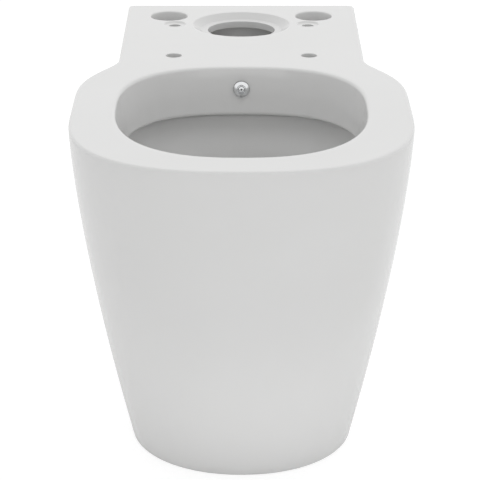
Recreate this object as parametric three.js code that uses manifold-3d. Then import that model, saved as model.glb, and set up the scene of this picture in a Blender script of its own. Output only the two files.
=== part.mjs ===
// Bidet toilet: a floor-standing, back-to-wall pan for a close-coupled cistern.
// A spray nozzle sits in the back of its rim and is fed by a copper tube behind the bowl.
// Lengths are millimetres, +Z is up and the front faces -Y.
// The origin is on the floor, under the middle of the pan's box.
// The glazed ware is one casting, modelled in the five shells that it is cast and luted from.

import * as THREE from 'three';
import { mergeVertices } from 'three/addons/utils/BufferGeometryUtils.js';
import Module from 'manifold-3d';

const wasm = await Module();
wasm.setup();

// Overall size of the pan
const WIDTH = 360;
const DEPTH = 665;
const HEIGHT = 400;

// Plan of the outside: a blunt nose, a neck and a straight rear
const REAR_WIDTH = 279;
const FOOT_WIDTH = 246.8;
const FOOT_SETBACK = 157;
const RIM_NOSE_LENGTH = 192.2;
const FOOT_NOSE_LENGTH = 131.7;
const NECK_START_FROM_REAR = 422.8;
const NECK_END_FROM_REAR = 253.7;

// Curve laws of the outside, which hold no length
const RIM_NOSE_POWER_SHARE = 2.54;
const FOOT_NOSE_POWER_SHARE = 2.07;
const SIDE_FLARE_POWER_SHARE = 1.404;
const FRONT_FLARE_POWER_SHARE = 1.456;
const NECK_POWER_SHARE = 1.94;

// Walls and plate of the ware
const SKIRT_WALL = 11;
const REAR_WALL = 12;
const DECK_THICKNESS = 14.5;
const EDGE_RADIUS = 3.5;
const BOWL_WALL = 11;
const LEDGE_THICKNESS = 12;
const CHANNEL_BACK_WALL = 10;

// Clearance between neighbouring pieces, and how far a cut runs past its face
const GAP = 0.3;
const OVERRUN = 2;

// Bowl opening in the rim
const RIM_FRONT_LAND = 46;
const RIM_SIDE_LAND = 40.2;
const OPENING_FROM_REAR = 280.4;
const OPENING_MIDDLE_FROM_FRONT = 227.8;
const OPENING_FRONT_POWER_SHARE = 2.45;
const OPENING_BACK_POWER_SHARE = 2.68;
const OPENING_ROUND = 7.5;

// Hanging lip of the rim, the flush channel behind it and the ledge that closes the channel
const LIP_DEPTH = 53;
const LIP_LEAN = 5.5;
const LIP_WALL = 10;
const LEDGE_DEPTH = 65;
const LEDGE_LAP = 2;
const CHANNEL_BACK_WIDTH = 30;
const CHANNEL_WALL_REACH = 75;

// Sump at the foot of the bowl
const SUMP_TOP_HEIGHT = 140;
const SUMP_HALF_WIDTH = 48;
const SUMP_FRONT_Y = -76;
const SUMP_BACK_Y = 15;
const SUMP_POWER_SHARE = 2.2;
const SUMP_FLOOR_HEIGHT = 50;
const SUMP_FLOOR_ROUND = 14;

// Trapway from the sump over its crest to the rear spigot
const TRAP_BORE = 76;
const TRAP_WALL = 10;
const TRAP_JOIN_Y = 42;
const TRAP_CREST_RISE = 35;
const TRAP_BEND_RADIUS = 70;
const OUTLET_HEIGHT = 180;
const SPIGOT_DIAMETER = 102;
const SPIGOT_LENGTH = 30;
const SPIGOT_SETBACK = 24;

// Corners of the trapway's middle line, as shares of its length from the sump to the spigot's end
const TRAP_CORNER_SHARES = [0.1675, 0.39, 0.6405, 0.8283];

// Flush inlet under the cistern, and the forked duct to the rim channel
const INLET_FROM_REAR = 93.5;
const INLET_SEAT_DIAMETER = 117;
const INLET_SEAT_FLOOR_DIAMETER = 97;
const INLET_SEAT_DEPTH = 8;
const INLET_BORE = 80;
const DUCT_WALL = 8;
const DUCT_FLOOR_DEPTH = 66;
const CHAMBER_HALF_WIDTH = 62;
const CHAMBER_HALF_LENGTH = 55;
const CHAMBER_ROUND = 24;
const DRY_WELL_HALF_WIDTH = 22;
const WINDOW_MARGIN = 4;

// Holes in the deck
const FILL_HOLE_DIAMETER = 46.5;
const FILL_HOLE_SPACING = 176;
const FILL_HOLE_FROM_REAR = 53.5;
const BOLT_HOLE_DIAMETER = 14;
const BOLT_RECESS_DIAMETER = 28;
const BOLT_RECESS_DEPTH = 2.5;
const BOLT_HOLE_SPACING = 160;
const BOLT_HOLE_FROM_REAR = 91.5;
const SEAT_HOLE_DIAMETER = 18;
const SEAT_HOLE_SPACING = 155;
const SEAT_HOLE_FROM_REAR = 235.5;

// Opening in the rear wall for the pipes
const ARCH_HALF_WIDTH = 95;
const ARCH_HEIGHT = 300;
const ARCH_ROUND = 30;

// Spray nozzle: a domed body with a swivelling ball, on a long threaded shank
const NOZZLE_DEPTH = 24.5;
const DOME_RADIUS = 9;
const DOME_FACE_RADIUS = 6.4;
const DOME_HEIGHT = 4.7;
const DOME_EDGE = 0.9;
const BALL_RADIUS = 4.2;
const BALL_CLEARANCE = 0.25;
const BALL_BORE_RADIUS = 1.2;
const ORIFICE_RADIUS = 1.95;
const ORIFICE_DEPTH = 1.1;
const RETAINER_MOUTH_RADIUS = 3.6;
const RETAINER_RADIUS = 5.15;
const RETAINER_PROUD = 0.5;
const SHANK_RADIUS = 6.6;
const SHANK_BORE_RADIUS = 2.2;
const SHANK_PAST_WALL = 21;
const NOZZLE_HOLE_RADIUS = 7.2;
const BOSS_RADIUS = 15;
const NOZZLE_SPOT_DEPTH = 0.1;
const FRONT_GASKET_THICKNESS = 1;
const REAR_GASKET_RADIUS = 12;
const REAR_GASKET_THICKNESS = 2;
const REAR_WASHER_THICKNESS = 1.5;
const LOCKNUT_ACROSS_FLATS = 20;
const LOCKNUT_THICKNESS = 6;

// Feed tube and its compression joint
const TUBE_RADIUS = 5;
const TUBE_BORE_RADIUS = 4;
const TUBE_SOCKET_DEPTH = 9;
const TUBE_BEND = 26;
const TUBE_DROP_BEHIND_NUT = 26;
const TUBE_CLEARANCE = 1;
const OLIVE_LENGTH = 4;
const OLIVE_THICKNESS = 1;
const TUBE_NUT_ACROSS_FLATS = 18;
const TUBE_NUT_GRIP = 6;
const TUBE_NUT_END = 4;

// Inlet at the other end of the tube: tailpiece, flat washer and union nut
const BIDET_INLET_X = 74;
const BIDET_INLET_HEIGHT = 238;
const UNION_FROM_REAR = 6;
const UNION_THREAD_RADIUS = 10;
const UNION_ACROSS_FLATS = 24;
const UNION_LENGTH = 20;
const UNION_SHOULDER = 3;
const TAILPIECE_NECK_RADIUS = 6.6;
const TAILPIECE_NECK_LENGTH = 18;
const TAILPIECE_FLANGE = 3;
const INLET_WASHER_THICKNESS = 2.5;

// Floor fixing inside each side: bracket, screw, sleeve and cover cap
const FIXING_FROM_REAR = 122.5;
const FIXING_HEIGHT = 45;
const FIXING_HOLE_RADIUS = 7;
const SLEEVE_FLANGE_RADIUS = 10.5;
const SLEEVE_FLANGE = 1.6;
const SLEEVE_WALL = 1.2;
const SLEEVE_FLOOR = 2;
const SCREW_RADIUS = 3;
const SCREW_LENGTH = 34;
const SCREW_HEAD_RADIUS = 4.8;
const SCREW_HEAD_HEIGHT = 3.2;
const SCREW_SLOT_WIDTH = 1.2;
const CAP_RADIUS = 10.5;
const CAP_CROWN = 2.4;
const CAP_EDGE = 1;
const CAP_PLUG_LENGTH = 3;
const BRACKET_WIDTH = 40;
const BRACKET_THICKNESS = 5;
const BRACKET_HEIGHT = 66;
const BRACKET_FOOT_LENGTH = 42;
const BRACKET_ROUND = 8;
const FLOOR_HOLE_RADIUS = 4;

// Numbers of facets
const NOSE_STEPS = 13;
const NECK_STEPS = 8;
const OPENING_STEPS = 12;
const BASIN_STEPS = 8;
const ROUND_STEPS = 3;
const LARGE_HOLE_SIDES = 32;
const SMALL_HOLE_SIDES = 16;
const TRAP_SIDES = 18;
const TRAP_RUNS = 20;
const TUBE_SIDES = 8;
const TUBE_RUNS = 30;
const TURNED_SIDES = 20;

// Levels of the skirt's rings, and the tube's crossing between the trapway's crest and the duct
const SKIRT_LEVEL_SHARES = [0, 0.12, 0.26, 0.42, 0.58, 0.74, 0.88, 1];
const TUBE_CROSSING_SHARE = 0.46;

// Seat of the spray ball's socket, as a share of the ball's radius
const SOCKET_SEAT_SHARE = 0.76;

// Powers of the basin's narrowing: high up, low down, and of its rear slope
const BASIN_UPPER_POWER_SHARE = 1.5;
const BASIN_LOWER_POWER_SHARE = 1.6;
const BASIN_REAR_POWER_SHARE = 1.25;

// Places that follow from the sizes
const REAR_Y = DEPTH / 2;
const FRONT_Y = -DEPTH / 2;
const DECK_UNDERSIDE = HEIGHT - DECK_THICKNESS;
const LEDGE_TOP = HEIGHT - LEDGE_DEPTH;
const LIP_FOOT = HEIGHT - LIP_DEPTH;
const OPENING_BACK_Y = REAR_Y - OPENING_FROM_REAR;
const OPENING_MIDDLE_Y = FRONT_Y + OPENING_MIDDLE_FROM_FRONT;
const INLET_Y = REAR_Y - INLET_FROM_REAR;
const CHANNEL_BACK_Y = OPENING_BACK_Y - OPENING_ROUND + LIP_WALL + CHANNEL_BACK_WIDTH;
const DUCT_FRONT_Y = CHANNEL_BACK_Y + CHANNEL_BACK_WALL;
const TRAP_OUTER_RADIUS = TRAP_BORE / 2 + TRAP_WALL;
const TRAP_START_HEIGHT = SUMP_FLOOR_HEIGHT + TRAP_BORE / 2;
const DUCT_UNDERSIDE = HEIGHT - DUCT_FLOOR_DEPTH - DUCT_WALL;
const TRAP_HIGHEST_CREST = DUCT_UNDERSIDE - 2 * (TUBE_RADIUS + TUBE_CLEARANCE) - TRAP_OUTER_RADIUS;
const TRAP_CREST_HEIGHT = Math.min(OUTLET_HEIGHT + TRAP_CREST_RISE, TRAP_HIGHEST_CREST);

const lerp = THREE.MathUtils.lerp;
const radians = THREE.MathUtils.degToRad;

// Materials
const glaze = new THREE.MeshStandardMaterial({ color: 0xe6e6e5, roughness: 0.12, metalness: 0 });
const chrome = new THREE.MeshStandardMaterial({ color: 0xd8dadc, roughness: 0.08, metalness: 1 });
const brass = new THREE.MeshStandardMaterial({ color: 0xc2a15a, roughness: 0.32, metalness: 1 });
const copper = new THREE.MeshStandardMaterial({ color: 0xb87350, roughness: 0.3, metalness: 1 });
const steel = new THREE.MeshStandardMaterial({ color: 0xb9bcbf, roughness: 0.3, metalness: 1 });
const rubber = new THREE.MeshStandardMaterial({ color: 0x26272a, roughness: 0.75, metalness: 0 });
const nylon = new THREE.MeshStandardMaterial({ color: 0xe4e4e0, roughness: 0.5, metalness: 0 });

// Closed solid of a geometry, with its shared corners merged and its faces pointing out
function solidOf(geometry) {
  const bare = geometry.clone();
  bare.deleteAttribute('normal');
  bare.deleteAttribute('uv');
  const merged = mergeVertices(bare);
  const places = merged.attributes.position;
  const corners = [];
  for (let i = 0; i < merged.index.count; i += 3) {
    const face = [merged.index.getX(i), merged.index.getX(i + 1), merged.index.getX(i + 2)];
    if (new Set(face).size === 3) corners.push(face);
  }
  const [a, b, c] = [new THREE.Vector3(), new THREE.Vector3(), new THREE.Vector3()];
  let volume = 0;
  for (const face of corners) {
    a.fromBufferAttribute(places, face[0]);
    b.fromBufferAttribute(places, face[1]);
    c.fromBufferAttribute(places, face[2]);
    volume += a.dot(b.cross(c));
  }
  if (volume < 0) corners.forEach((face) => face.reverse());
  return new wasm.Manifold(new wasm.Mesh({
    numProp: 3,
    vertProperties: new Float32Array(places.array),
    triVerts: new Uint32Array(corners.flat()),
  }));
}

// Geometry of a solid, for a mesh
function geometryOf(solid) {
  const mesh = solid.getMesh();
  const geometry = new THREE.BufferGeometry();
  geometry.setAttribute('position', new THREE.BufferAttribute(mesh.vertProperties, 3));
  geometry.setIndex(new THREE.BufferAttribute(mesh.triVerts, 1));
  geometry.computeVertexNormals();
  return geometry;
}

// Solid through rings of points with one count, each ring flat and anticlockwise from above
function loft(rings) {
  const count = rings[0].length;
  const faces = [];
  for (let level = 0; level + 1 < rings.length; level += 1) {
    for (let i = 0; i < count; i += 1) {
      const low = level * count;
      const next = (i + 1) % count;
      faces.push(low + i, low + next, low + count + next);
      faces.push(low + i, low + count + next, low + count + i);
    }
  }
  const flat = (ring) => THREE.ShapeUtils.triangulateShape(ring.map((p) => new THREE.Vector2(p.x, p.y)), []);
  const top = (rings.length - 1) * count;
  flat(rings[0]).forEach(([i, j, k]) => faces.push(k, j, i));
  flat(rings[rings.length - 1]).forEach(([i, j, k]) => faces.push(top + i, top + j, top + k));
  const geometry = new THREE.BufferGeometry();
  const places = rings.flat().flatMap((p) => [p.x, p.y, p.z]);
  geometry.setAttribute('position', new THREE.Float32BufferAttribute(places, 3));
  geometry.setIndex(faces);
  return solidOf(geometry);
}

// Solid between two heights with one outline, a THREE.Shape
function prism(shape, low, high) {
  const settings = { depth: high - low, bevelEnabled: false, curveSegments: ROUND_STEPS };
  const geometry = new THREE.ExtrudeGeometry(shape, settings);
  return geometry.translate(0, 0, low);
}

// Box between two corners
function block(low, high) {
  const size = high.map((value, i) => value - low[i]);
  const middle = high.map((value, i) => (value + low[i]) / 2);
  return new THREE.BoxGeometry(...size).translate(...middle);
}

// Round bar along Z
function bar(radius, low, high, sides = TURNED_SIDES) {
  const geometry = new THREE.CylinderGeometry(radius, radius, high - low, sides);
  return geometry.rotateX(Math.PI / 2).translate(0, 0, (high + low) / 2);
}

// Hexagonal bar along Z, by its size across flats
function hexagon(acrossFlats, low, high) {
  const corner = acrossFlats / 2 / Math.cos(Math.PI / 6);
  return bar(corner, low, high, 6);
}

// Turned shape about Z from a closed outline of [radius, height] pairs
function turned(outline, sides = TURNED_SIDES) {
  const points = [...outline, outline[0]].map(([radius, height]) => new THREE.Vector2(radius, height));
  return new THREE.LatheGeometry(points, sides).rotateX(Math.PI / 2);
}

// Points along an arc in a turned outline, by angles in degrees from the radial direction
function arc(middle, radius, from, to, steps) {
  return Array.from({ length: steps + 1 }, (_, i) => {
    const angle = radians(lerp(from, to, i / steps));
    return [middle[0] + radius * Math.cos(angle), middle[1] + radius * Math.sin(angle)];
  });
}

// Plain washer about Z
function washer(inner, outer, low, high) {
  return turned([[inner, low], [outer, low], [outer, high], [inner, high]]);
}

// Moves every point of a half outline inwards, with the first point on the middle plane
function movedIn(half, inset) {
  return half.map((point, i) => {
    const before = half[Math.max(i - 1, 0)];
    const after = half[Math.min(i + 1, half.length - 1)];
    const along = i === 0 ? new THREE.Vector2(1, 0) : after.clone().sub(before).normalize();
    return new THREE.Vector2(point.x - along.y * inset, point.y + along.x * inset);
  });
}

// Whole ring at a height from its right half, which runs from the front to the rear
function mirrored(half, height) {
  const right = half.map((p) => new THREE.Vector3(p.x, p.y, height));
  const offMiddle = half.filter((p) => Math.abs(p.x) > 0).reverse();
  const left = offMiddle.map((p) => new THREE.Vector3(-p.x, p.y, height));
  return [...right, ...left];
}

// Outside of the pan at a height, moved in by an inset, with its own inset at the rear
function panRing(height, inset = 0, rearInset = inset, placedAt = height) {
  const rise = Math.min(height / (HEIGHT - EDGE_RADIUS), 1);
  const sideFlare = 1 - (1 - rise) ** SIDE_FLARE_POWER_SHARE;
  const frontFlare = 1 - (1 - rise) ** FRONT_FLARE_POWER_SHARE;
  const noseHalf = lerp(FOOT_WIDTH, WIDTH, sideFlare) / 2;
  const rearHalf = lerp(FOOT_WIDTH, REAR_WIDTH, rise) / 2;
  const tipY = FRONT_Y + lerp(FOOT_SETBACK, 0, frontFlare);
  const widestY = FRONT_Y + lerp(FOOT_SETBACK + FOOT_NOSE_LENGTH, RIM_NOSE_LENGTH, rise);
  const power = 2 / lerp(FOOT_NOSE_POWER_SHARE, RIM_NOSE_POWER_SHARE, rise);
  const neckStartY = REAR_Y - NECK_START_FROM_REAR;
  const neckEndY = REAR_Y - NECK_END_FROM_REAR;
  const half = [];
  for (let i = 0; i <= NOSE_STEPS; i += 1) {
    const turn = (i / NOSE_STEPS) * (Math.PI / 2);
    const x = noseHalf * Math.sin(turn) ** power;
    const y = widestY - (widestY - tipY) * Math.abs(Math.cos(turn)) ** power;
    half.push(new THREE.Vector2(x, y));
  }
  for (let i = 1; i <= NECK_STEPS; i += 1) {
    const y = lerp(widestY, neckEndY, i / NECK_STEPS);
    const run = THREE.MathUtils.clamp((y - neckStartY) / (neckEndY - neckStartY), 0, 1) ** NECK_POWER_SHARE;
    half.push(new THREE.Vector2(lerp(noseHalf, rearHalf, THREE.MathUtils.smoothstep(run, 0, 1)), y));
  }
  half.push(new THREE.Vector2(rearHalf, REAR_Y));
  const inner = movedIn(half, inset);
  inner[inner.length - 1].y = REAR_Y - rearInset;
  return mirrored(inner, placedAt);
}

// Two half superellipses on one middle line, as a ring at a height
function ovalRing(oval, height, steps) {
  const half = [];
  for (let i = 0; i <= 2 * steps; i += 1) {
    const turn = (i / steps) * (Math.PI / 2);
    const inFront = i < steps;
    const power = 2 / (inFront ? oval.frontPower : oval.backPower);
    const reach = inFront ? oval.middleY - oval.frontY : oval.middleY - oval.backY;
    const x = oval.halfWidth * Math.abs(Math.sin(turn)) ** power;
    const y = oval.middleY - reach * Math.abs(Math.cos(turn)) ** power;
    half.push(new THREE.Vector2(i === 2 * steps ? 0 : x, y));
  }
  return mirrored(half, height);
}

// Bowl opening at the rim's flat top, moved in by an inset
function openingOval(inset) {
  return {
    halfWidth: WIDTH / 2 - RIM_SIDE_LAND - inset,
    frontY: FRONT_Y + RIM_FRONT_LAND + inset,
    backY: OPENING_BACK_Y - inset,
    middleY: OPENING_MIDDLE_Y,
    frontPower: OPENING_FRONT_POWER_SHARE,
    backPower: OPENING_BACK_POWER_SHARE,
  };
}

// Everything within the rim channel's back wall, moved out by a thickness
function channelBack(thickness) {
  const oval = openingOval(OPENING_ROUND - LIP_WALL - CHANNEL_BACK_WIDTH - thickness);
  return loft([ovalRing(oval, 0, OPENING_STEPS), ovalRing(oval, HEIGHT, OPENING_STEPS)]);
}

// How far the lip's inner face stands inside the opening's edge at a height
function lipInset(height) {
  return OPENING_ROUND + LIP_LEAN * (HEIGHT - OPENING_ROUND - height) / (LIP_DEPTH - OPENING_ROUND);
}

// Inside of the basin at a height below the ledge, moved out by a wall
function basinOval(height, wall = 0) {
  const top = openingOval(lipInset(LIP_FOOT) - LIP_WALL + LEDGE_LAP);
  const fall = THREE.MathUtils.clamp((LEDGE_TOP - height) / (LEDGE_TOP - SUMP_TOP_HEIGHT), 0, 1);
  const round = Math.max(SUMP_FLOOR_HEIGHT + SUMP_FLOOR_ROUND - height, 0);
  const tuck = SUMP_FLOOR_ROUND - Math.sqrt(Math.max(SUMP_FLOOR_ROUND ** 2 - round ** 2, 0));
  const upper = fall ** BASIN_UPPER_POWER_SHARE;
  const lower = 1 - (1 - fall) ** BASIN_LOWER_POWER_SHARE;
  const draw = upper * (1 - fall) + lower * fall;
  const slope = fall ** BASIN_REAR_POWER_SHARE;
  return {
    halfWidth: lerp(top.halfWidth, SUMP_HALF_WIDTH, draw) - tuck + wall,
    frontY: lerp(top.frontY, SUMP_FRONT_Y, draw) + tuck - wall,
    backY: lerp(top.backY, SUMP_BACK_Y, slope) - tuck + wall,
    middleY: lerp(top.middleY, (SUMP_FRONT_Y + SUMP_BACK_Y) / 2, draw),
    frontPower: lerp(top.frontPower, SUMP_POWER_SHARE, fall),
    backPower: lerp(top.backPower, SUMP_POWER_SHARE, fall),
  };
}

// Space inside the skirt's wall, run past its two ends, with a clearance all round
function skirtSpace(clearance = 0) {
  const inset = SKIRT_WALL + clearance;
  const rearInset = REAR_WALL + clearance;
  const rings = SKIRT_LEVEL_SHARES.map((share) => panRing(share * DECK_UNDERSIDE, inset, rearInset));
  const foot = panRing(0, inset, rearInset, -OVERRUN);
  const head = panRing(DECK_UNDERSIDE, inset, rearInset, DECK_UNDERSIDE + OVERRUN);
  return loft([foot, ...rings, head]);
}

// Nozzle frame: its +Z looks out of the rim's back wall into the bowl
const lean = Math.atan(LIP_LEAN / (LIP_DEPTH - OPENING_ROUND));
const nozzle = new THREE.Group();
nozzle.position.set(0, OPENING_BACK_Y - lipInset(HEIGHT - NOZZLE_DEPTH), HEIGHT - NOZZLE_DEPTH);
nozzle.rotation.x = Math.PI / 2 - lean;
nozzle.updateMatrixWorld(true);

// Depth of the flat pad behind the channel's back wall, along the nozzle's axis
const padReach = DUCT_FRONT_Y - nozzle.position.y - REAR_GASKET_RADIUS * Math.sin(lean);
const padDepth = padReach / Math.cos(lean) - GAP;

// Fixing frame on the right side: its +Z looks out of the skirt
const sideLean = Math.atan((REAR_WIDTH - FOOT_WIDTH) / 2 / HEIGHT);
const fixing = new THREE.Group();
const fixingX = lerp(FOOT_WIDTH, REAR_WIDTH, FIXING_HEIGHT / HEIGHT) / 2;
fixing.position.set(fixingX, REAR_Y - FIXING_FROM_REAR, FIXING_HEIGHT);
fixing.rotation.y = Math.PI / 2 + sideLean;
fixing.updateMatrixWorld(true);

// Rim and deck: the top plate, the hanging lip, the channel's back wall and the nozzle's boss
function rimDeck() {
  const edge = [panRing(DECK_UNDERSIDE)];
  for (let i = 0; i <= ROUND_STEPS; i += 1) {
    const turn = (i / ROUND_STEPS) * (Math.PI / 2);
    const height = HEIGHT - EDGE_RADIUS + EDGE_RADIUS * Math.sin(turn);
    edge.push(panRing(height, EDGE_RADIUS - EDGE_RADIUS * Math.cos(turn)));
  }
  const lipTop = DECK_UNDERSIDE + DECK_THICKNESS / 2;
  const lip = loft([
    ovalRing(openingOval(lipInset(LIP_FOOT) - LIP_WALL), LIP_FOOT, OPENING_STEPS),
    ovalRing(openingOval(lipInset(lipTop) - LIP_WALL), lipTop, OPENING_STEPS),
  ]);
  const wallFrontY = DUCT_FRONT_Y - CHANNEL_WALL_REACH;
  const rear = solidOf(block([-WIDTH, wallFrontY, LEDGE_TOP], [WIDTH, REAR_Y, lipTop]));
  const wholeWall = channelBack(CHANNEL_BACK_WALL).subtract(channelBack(0));
  const backWall = wholeWall.intersect(rear).intersect(skirtSpace(GAP));
  const boss = solidOf(bar(BOSS_RADIUS, -padDepth - OVERRUN, -LIP_WALL / 2).applyMatrix4(nozzle.matrixWorld));
  const kept = solidOf(block([-WIDTH, FRONT_Y, LEDGE_TOP], [WIDTH, DUCT_FRONT_Y, HEIGHT - EDGE_RADIUS]));
  let ware = loft(edge).add(lip).add(backWall).add(boss.intersect(kept));

  const opening = [ovalRing(openingOval(lipInset(LIP_FOOT - OVERRUN)), LIP_FOOT - OVERRUN, OPENING_STEPS)];
  for (let i = 0; i <= ROUND_STEPS; i += 1) {
    const turn = (i / ROUND_STEPS) * (Math.PI / 2);
    const height = HEIGHT - OPENING_ROUND + OPENING_ROUND * Math.sin(turn);
    opening.push(ovalRing(openingOval(OPENING_ROUND * Math.cos(turn)), height, OPENING_STEPS));
  }
  opening.push(ovalRing(openingOval(0), HEIGHT + OVERRUN, OPENING_STEPS));
  ware = ware.subtract(loft(opening));

  const seatWall = (INLET_SEAT_DIAMETER - INLET_SEAT_FLOOR_DIAMETER) / 2 / INLET_SEAT_DEPTH;
  const inletCut = turned([
    [0, DECK_UNDERSIDE - OVERRUN],
    [INLET_BORE / 2, DECK_UNDERSIDE - OVERRUN],
    [INLET_BORE / 2, HEIGHT - INLET_SEAT_DEPTH],
    [INLET_SEAT_FLOOR_DIAMETER / 2, HEIGHT - INLET_SEAT_DEPTH],
    [INLET_SEAT_DIAMETER / 2 + seatWall * OVERRUN, HEIGHT + OVERRUN],
    [0, HEIGHT + OVERRUN],
  ], LARGE_HOLE_SIDES);
  ware = ware.subtract(solidOf(inletCut.translate(0, INLET_Y, 0)));

  const low = DECK_UNDERSIDE - OVERRUN;
  const high = HEIGHT + OVERRUN;
  for (const side of [-1, 1]) {
    const fill = bar(FILL_HOLE_DIAMETER / 2, low, high, LARGE_HOLE_SIDES);
    const bolt = bar(BOLT_HOLE_DIAMETER / 2, low, high, SMALL_HOLE_SIDES);
    const boltRecess = bar(BOLT_RECESS_DIAMETER / 2, HEIGHT - BOLT_RECESS_DEPTH, high);
    const seat = bar(SEAT_HOLE_DIAMETER / 2, low, high, SMALL_HOLE_SIDES);
    const fillY = REAR_Y - FILL_HOLE_FROM_REAR;
    const boltY = REAR_Y - BOLT_HOLE_FROM_REAR;
    const seatY = REAR_Y - SEAT_HOLE_FROM_REAR;
    ware = ware.subtract(solidOf(fill.translate(side * FILL_HOLE_SPACING / 2, fillY, 0)));
    ware = ware.subtract(solidOf(bolt.translate(side * BOLT_HOLE_SPACING / 2, boltY, 0)));
    ware = ware.subtract(solidOf(boltRecess.translate(side * BOLT_HOLE_SPACING / 2, boltY, 0)));
    ware = ware.subtract(solidOf(seat.translate(side * SEAT_HOLE_SPACING / 2, seatY, 0)));
    const near = side * (DRY_WELL_HALF_WIDTH + DUCT_WALL);
    const far = side * (CHAMBER_HALF_WIDTH - DUCT_WALL);
    const window = block(
      [Math.min(near, far), CHANNEL_BACK_Y - CHANNEL_BACK_WALL, LEDGE_TOP + WINDOW_MARGIN],
      [Math.max(near, far), DUCT_FRONT_Y + OVERRUN, DECK_UNDERSIDE - WINDOW_MARGIN],
    );
    ware = ware.subtract(solidOf(window));
  }
  const nozzleHole = bar(NOZZLE_HOLE_RADIUS, -padDepth - DEPTH / 2, OVERRUN);
  const pad = bar(REAR_GASKET_RADIUS + OVERRUN, -padDepth - DEPTH / 2, -padDepth);
  const behind = solidOf(pad.applyMatrix4(nozzle.matrixWorld));
  const spot = bar(DOME_RADIUS + GAP, -NOZZLE_SPOT_DEPTH, DOME_RADIUS);
  ware = ware.subtract(solidOf(nozzleHole.applyMatrix4(nozzle.matrixWorld)));
  ware = ware.subtract(solidOf(spot.applyMatrix4(nozzle.matrixWorld)));
  return ware.subtract(behind.intersect(solidOf(block([-WIDTH, 0, 0], [WIDTH, DEPTH, DECK_UNDERSIDE]))));
}

// Skirt: the outer wall down to the floor, with the pipe opening and the side fixing holes
function panSkirt() {
  const outside = loft(SKIRT_LEVEL_SHARES.map((share) => panRing(share * DECK_UNDERSIDE)));
  const inside = skirtSpace();
  const arch = new THREE.Shape();
  arch.moveTo(-ARCH_HALF_WIDTH, -OVERRUN);
  arch.lineTo(ARCH_HALF_WIDTH, -OVERRUN);
  arch.lineTo(ARCH_HALF_WIDTH, ARCH_HEIGHT - ARCH_ROUND);
  arch.absarc(ARCH_HALF_WIDTH - ARCH_ROUND, ARCH_HEIGHT - ARCH_ROUND, ARCH_ROUND, 0, Math.PI / 2);
  arch.absarc(ARCH_ROUND - ARCH_HALF_WIDTH, ARCH_HEIGHT - ARCH_ROUND, ARCH_ROUND, Math.PI / 2, Math.PI);
  const through = prism(arch, 0, REAR_WALL + 2 * OVERRUN).rotateX(Math.PI / 2);
  through.translate(0, REAR_Y + OVERRUN, 0);
  let ware = outside.subtract(inside).subtract(solidOf(through));
  for (const turn of [0, Math.PI]) {
    const hole = bar(FIXING_HOLE_RADIUS, -SKIRT_WALL - OVERRUN, OVERRUN).applyMatrix4(fixing.matrixWorld);
    const placed = turn ? hole.scale(-1, 1, 1) : hole;
    ware = ware.subtract(solidOf(placed));
  }
  return ware;
}

// Bowl: the basin, the ledge that closes the rim channel and the seat of the trapway
function bowl() {
  const heights = [LEDGE_TOP];
  for (let i = 1; i <= BASIN_STEPS; i += 1) {
    heights.push(lerp(LEDGE_TOP, SUMP_TOP_HEIGHT, i / BASIN_STEPS));
  }
  heights.push(SUMP_FLOOR_HEIGHT + SUMP_FLOOR_ROUND);
  for (let i = 1; i < ROUND_STEPS; i += 1) {
    const turn = (i / ROUND_STEPS) * (Math.PI / 2);
    heights.push(SUMP_FLOOR_HEIGHT + SUMP_FLOOR_ROUND * (1 - Math.sin(turn)));
  }
  const rising = heights.reverse();
  const insideRings = rising.map((height) => ovalRing(basinOval(height), height, OPENING_STEPS));
  const outsideRings = rising.map((height) => {
    const lowered = Math.min(height, SUMP_FLOOR_HEIGHT + SUMP_FLOOR_ROUND);
    const foot = height - BOWL_WALL * (height < lowered + SUMP_FLOOR_ROUND ? 1 : 0);
    return ovalRing(basinOval(height, BOWL_WALL), foot, OPENING_STEPS);
  });
  insideRings.push(ovalRing(basinOval(LEDGE_TOP), LEDGE_TOP + OVERRUN, OPENING_STEPS));
  const ledgeFoot = LEDGE_TOP - LEDGE_THICKNESS;
  const ledge = solidOf(block([-WIDTH, FRONT_Y, ledgeFoot], [WIDTH, DUCT_FRONT_Y, LEDGE_TOP]));
  const seat = bar(TRAP_OUTER_RADIUS, -TRAP_JOIN_Y, -SUMP_FRONT_Y / 2, TRAP_SIDES).rotateX(Math.PI / 2);
  const bore = bar(TRAP_BORE / 2, -TRAP_JOIN_Y - OVERRUN, -SUMP_FRONT_Y / 2, TRAP_SIDES).rotateX(Math.PI / 2);
  return loft(outsideRings)
    .add(ledge.intersect(skirtSpace(GAP)).intersect(channelBack(CHANNEL_BACK_WALL)))
    .add(solidOf(seat.translate(0, 0, TRAP_START_HEIGHT)))
    .subtract(loft(insideRings))
    .subtract(solidOf(bore.translate(0, 0, TRAP_START_HEIGHT)));
}

// Path through corners, each rounded by an arc that its two legs have room for
function roundedPath(points, radius) {
  const path = new THREE.CurvePath();
  const legs = points.slice(1).map((point, i) => point.clone().sub(points[i]));
  const turns = legs.slice(1).map((leg, i) => leg.angleTo(legs[i]));
  const wanted = [0, ...turns.map((turn) => radius * Math.tan(turn / 2)), 0];
  const room = legs.map((leg, i) => Math.min(1, leg.length() / (wanted[i] + wanted[i + 1])));
  let place = points[0];
  turns.forEach((turn, i) => {
    const corner = points[i + 1];
    const reach = wanted[i + 1] * Math.min(room[i], room[i + 1]);
    const handle = reach * (1 - 4 / 3 * Math.tan(turn / 4) / Math.tan(turn / 2));
    const from = (leg, distance) => corner.clone().add(leg.clone().setLength(distance));
    const start = from(legs[i], -reach);
    const end = from(legs[i + 1], reach);
    if (place.distanceTo(start) > GAP) path.add(new THREE.LineCurve3(place, start));
    path.add(new THREE.CubicBezierCurve3(start, from(legs[i], -handle), from(legs[i + 1], handle), end));
    place = end;
  });
  if (place.distanceTo(points[points.length - 1]) > GAP) {
    path.add(new THREE.LineCurve3(place, points[points.length - 1]));
  }
  return path;
}

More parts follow.
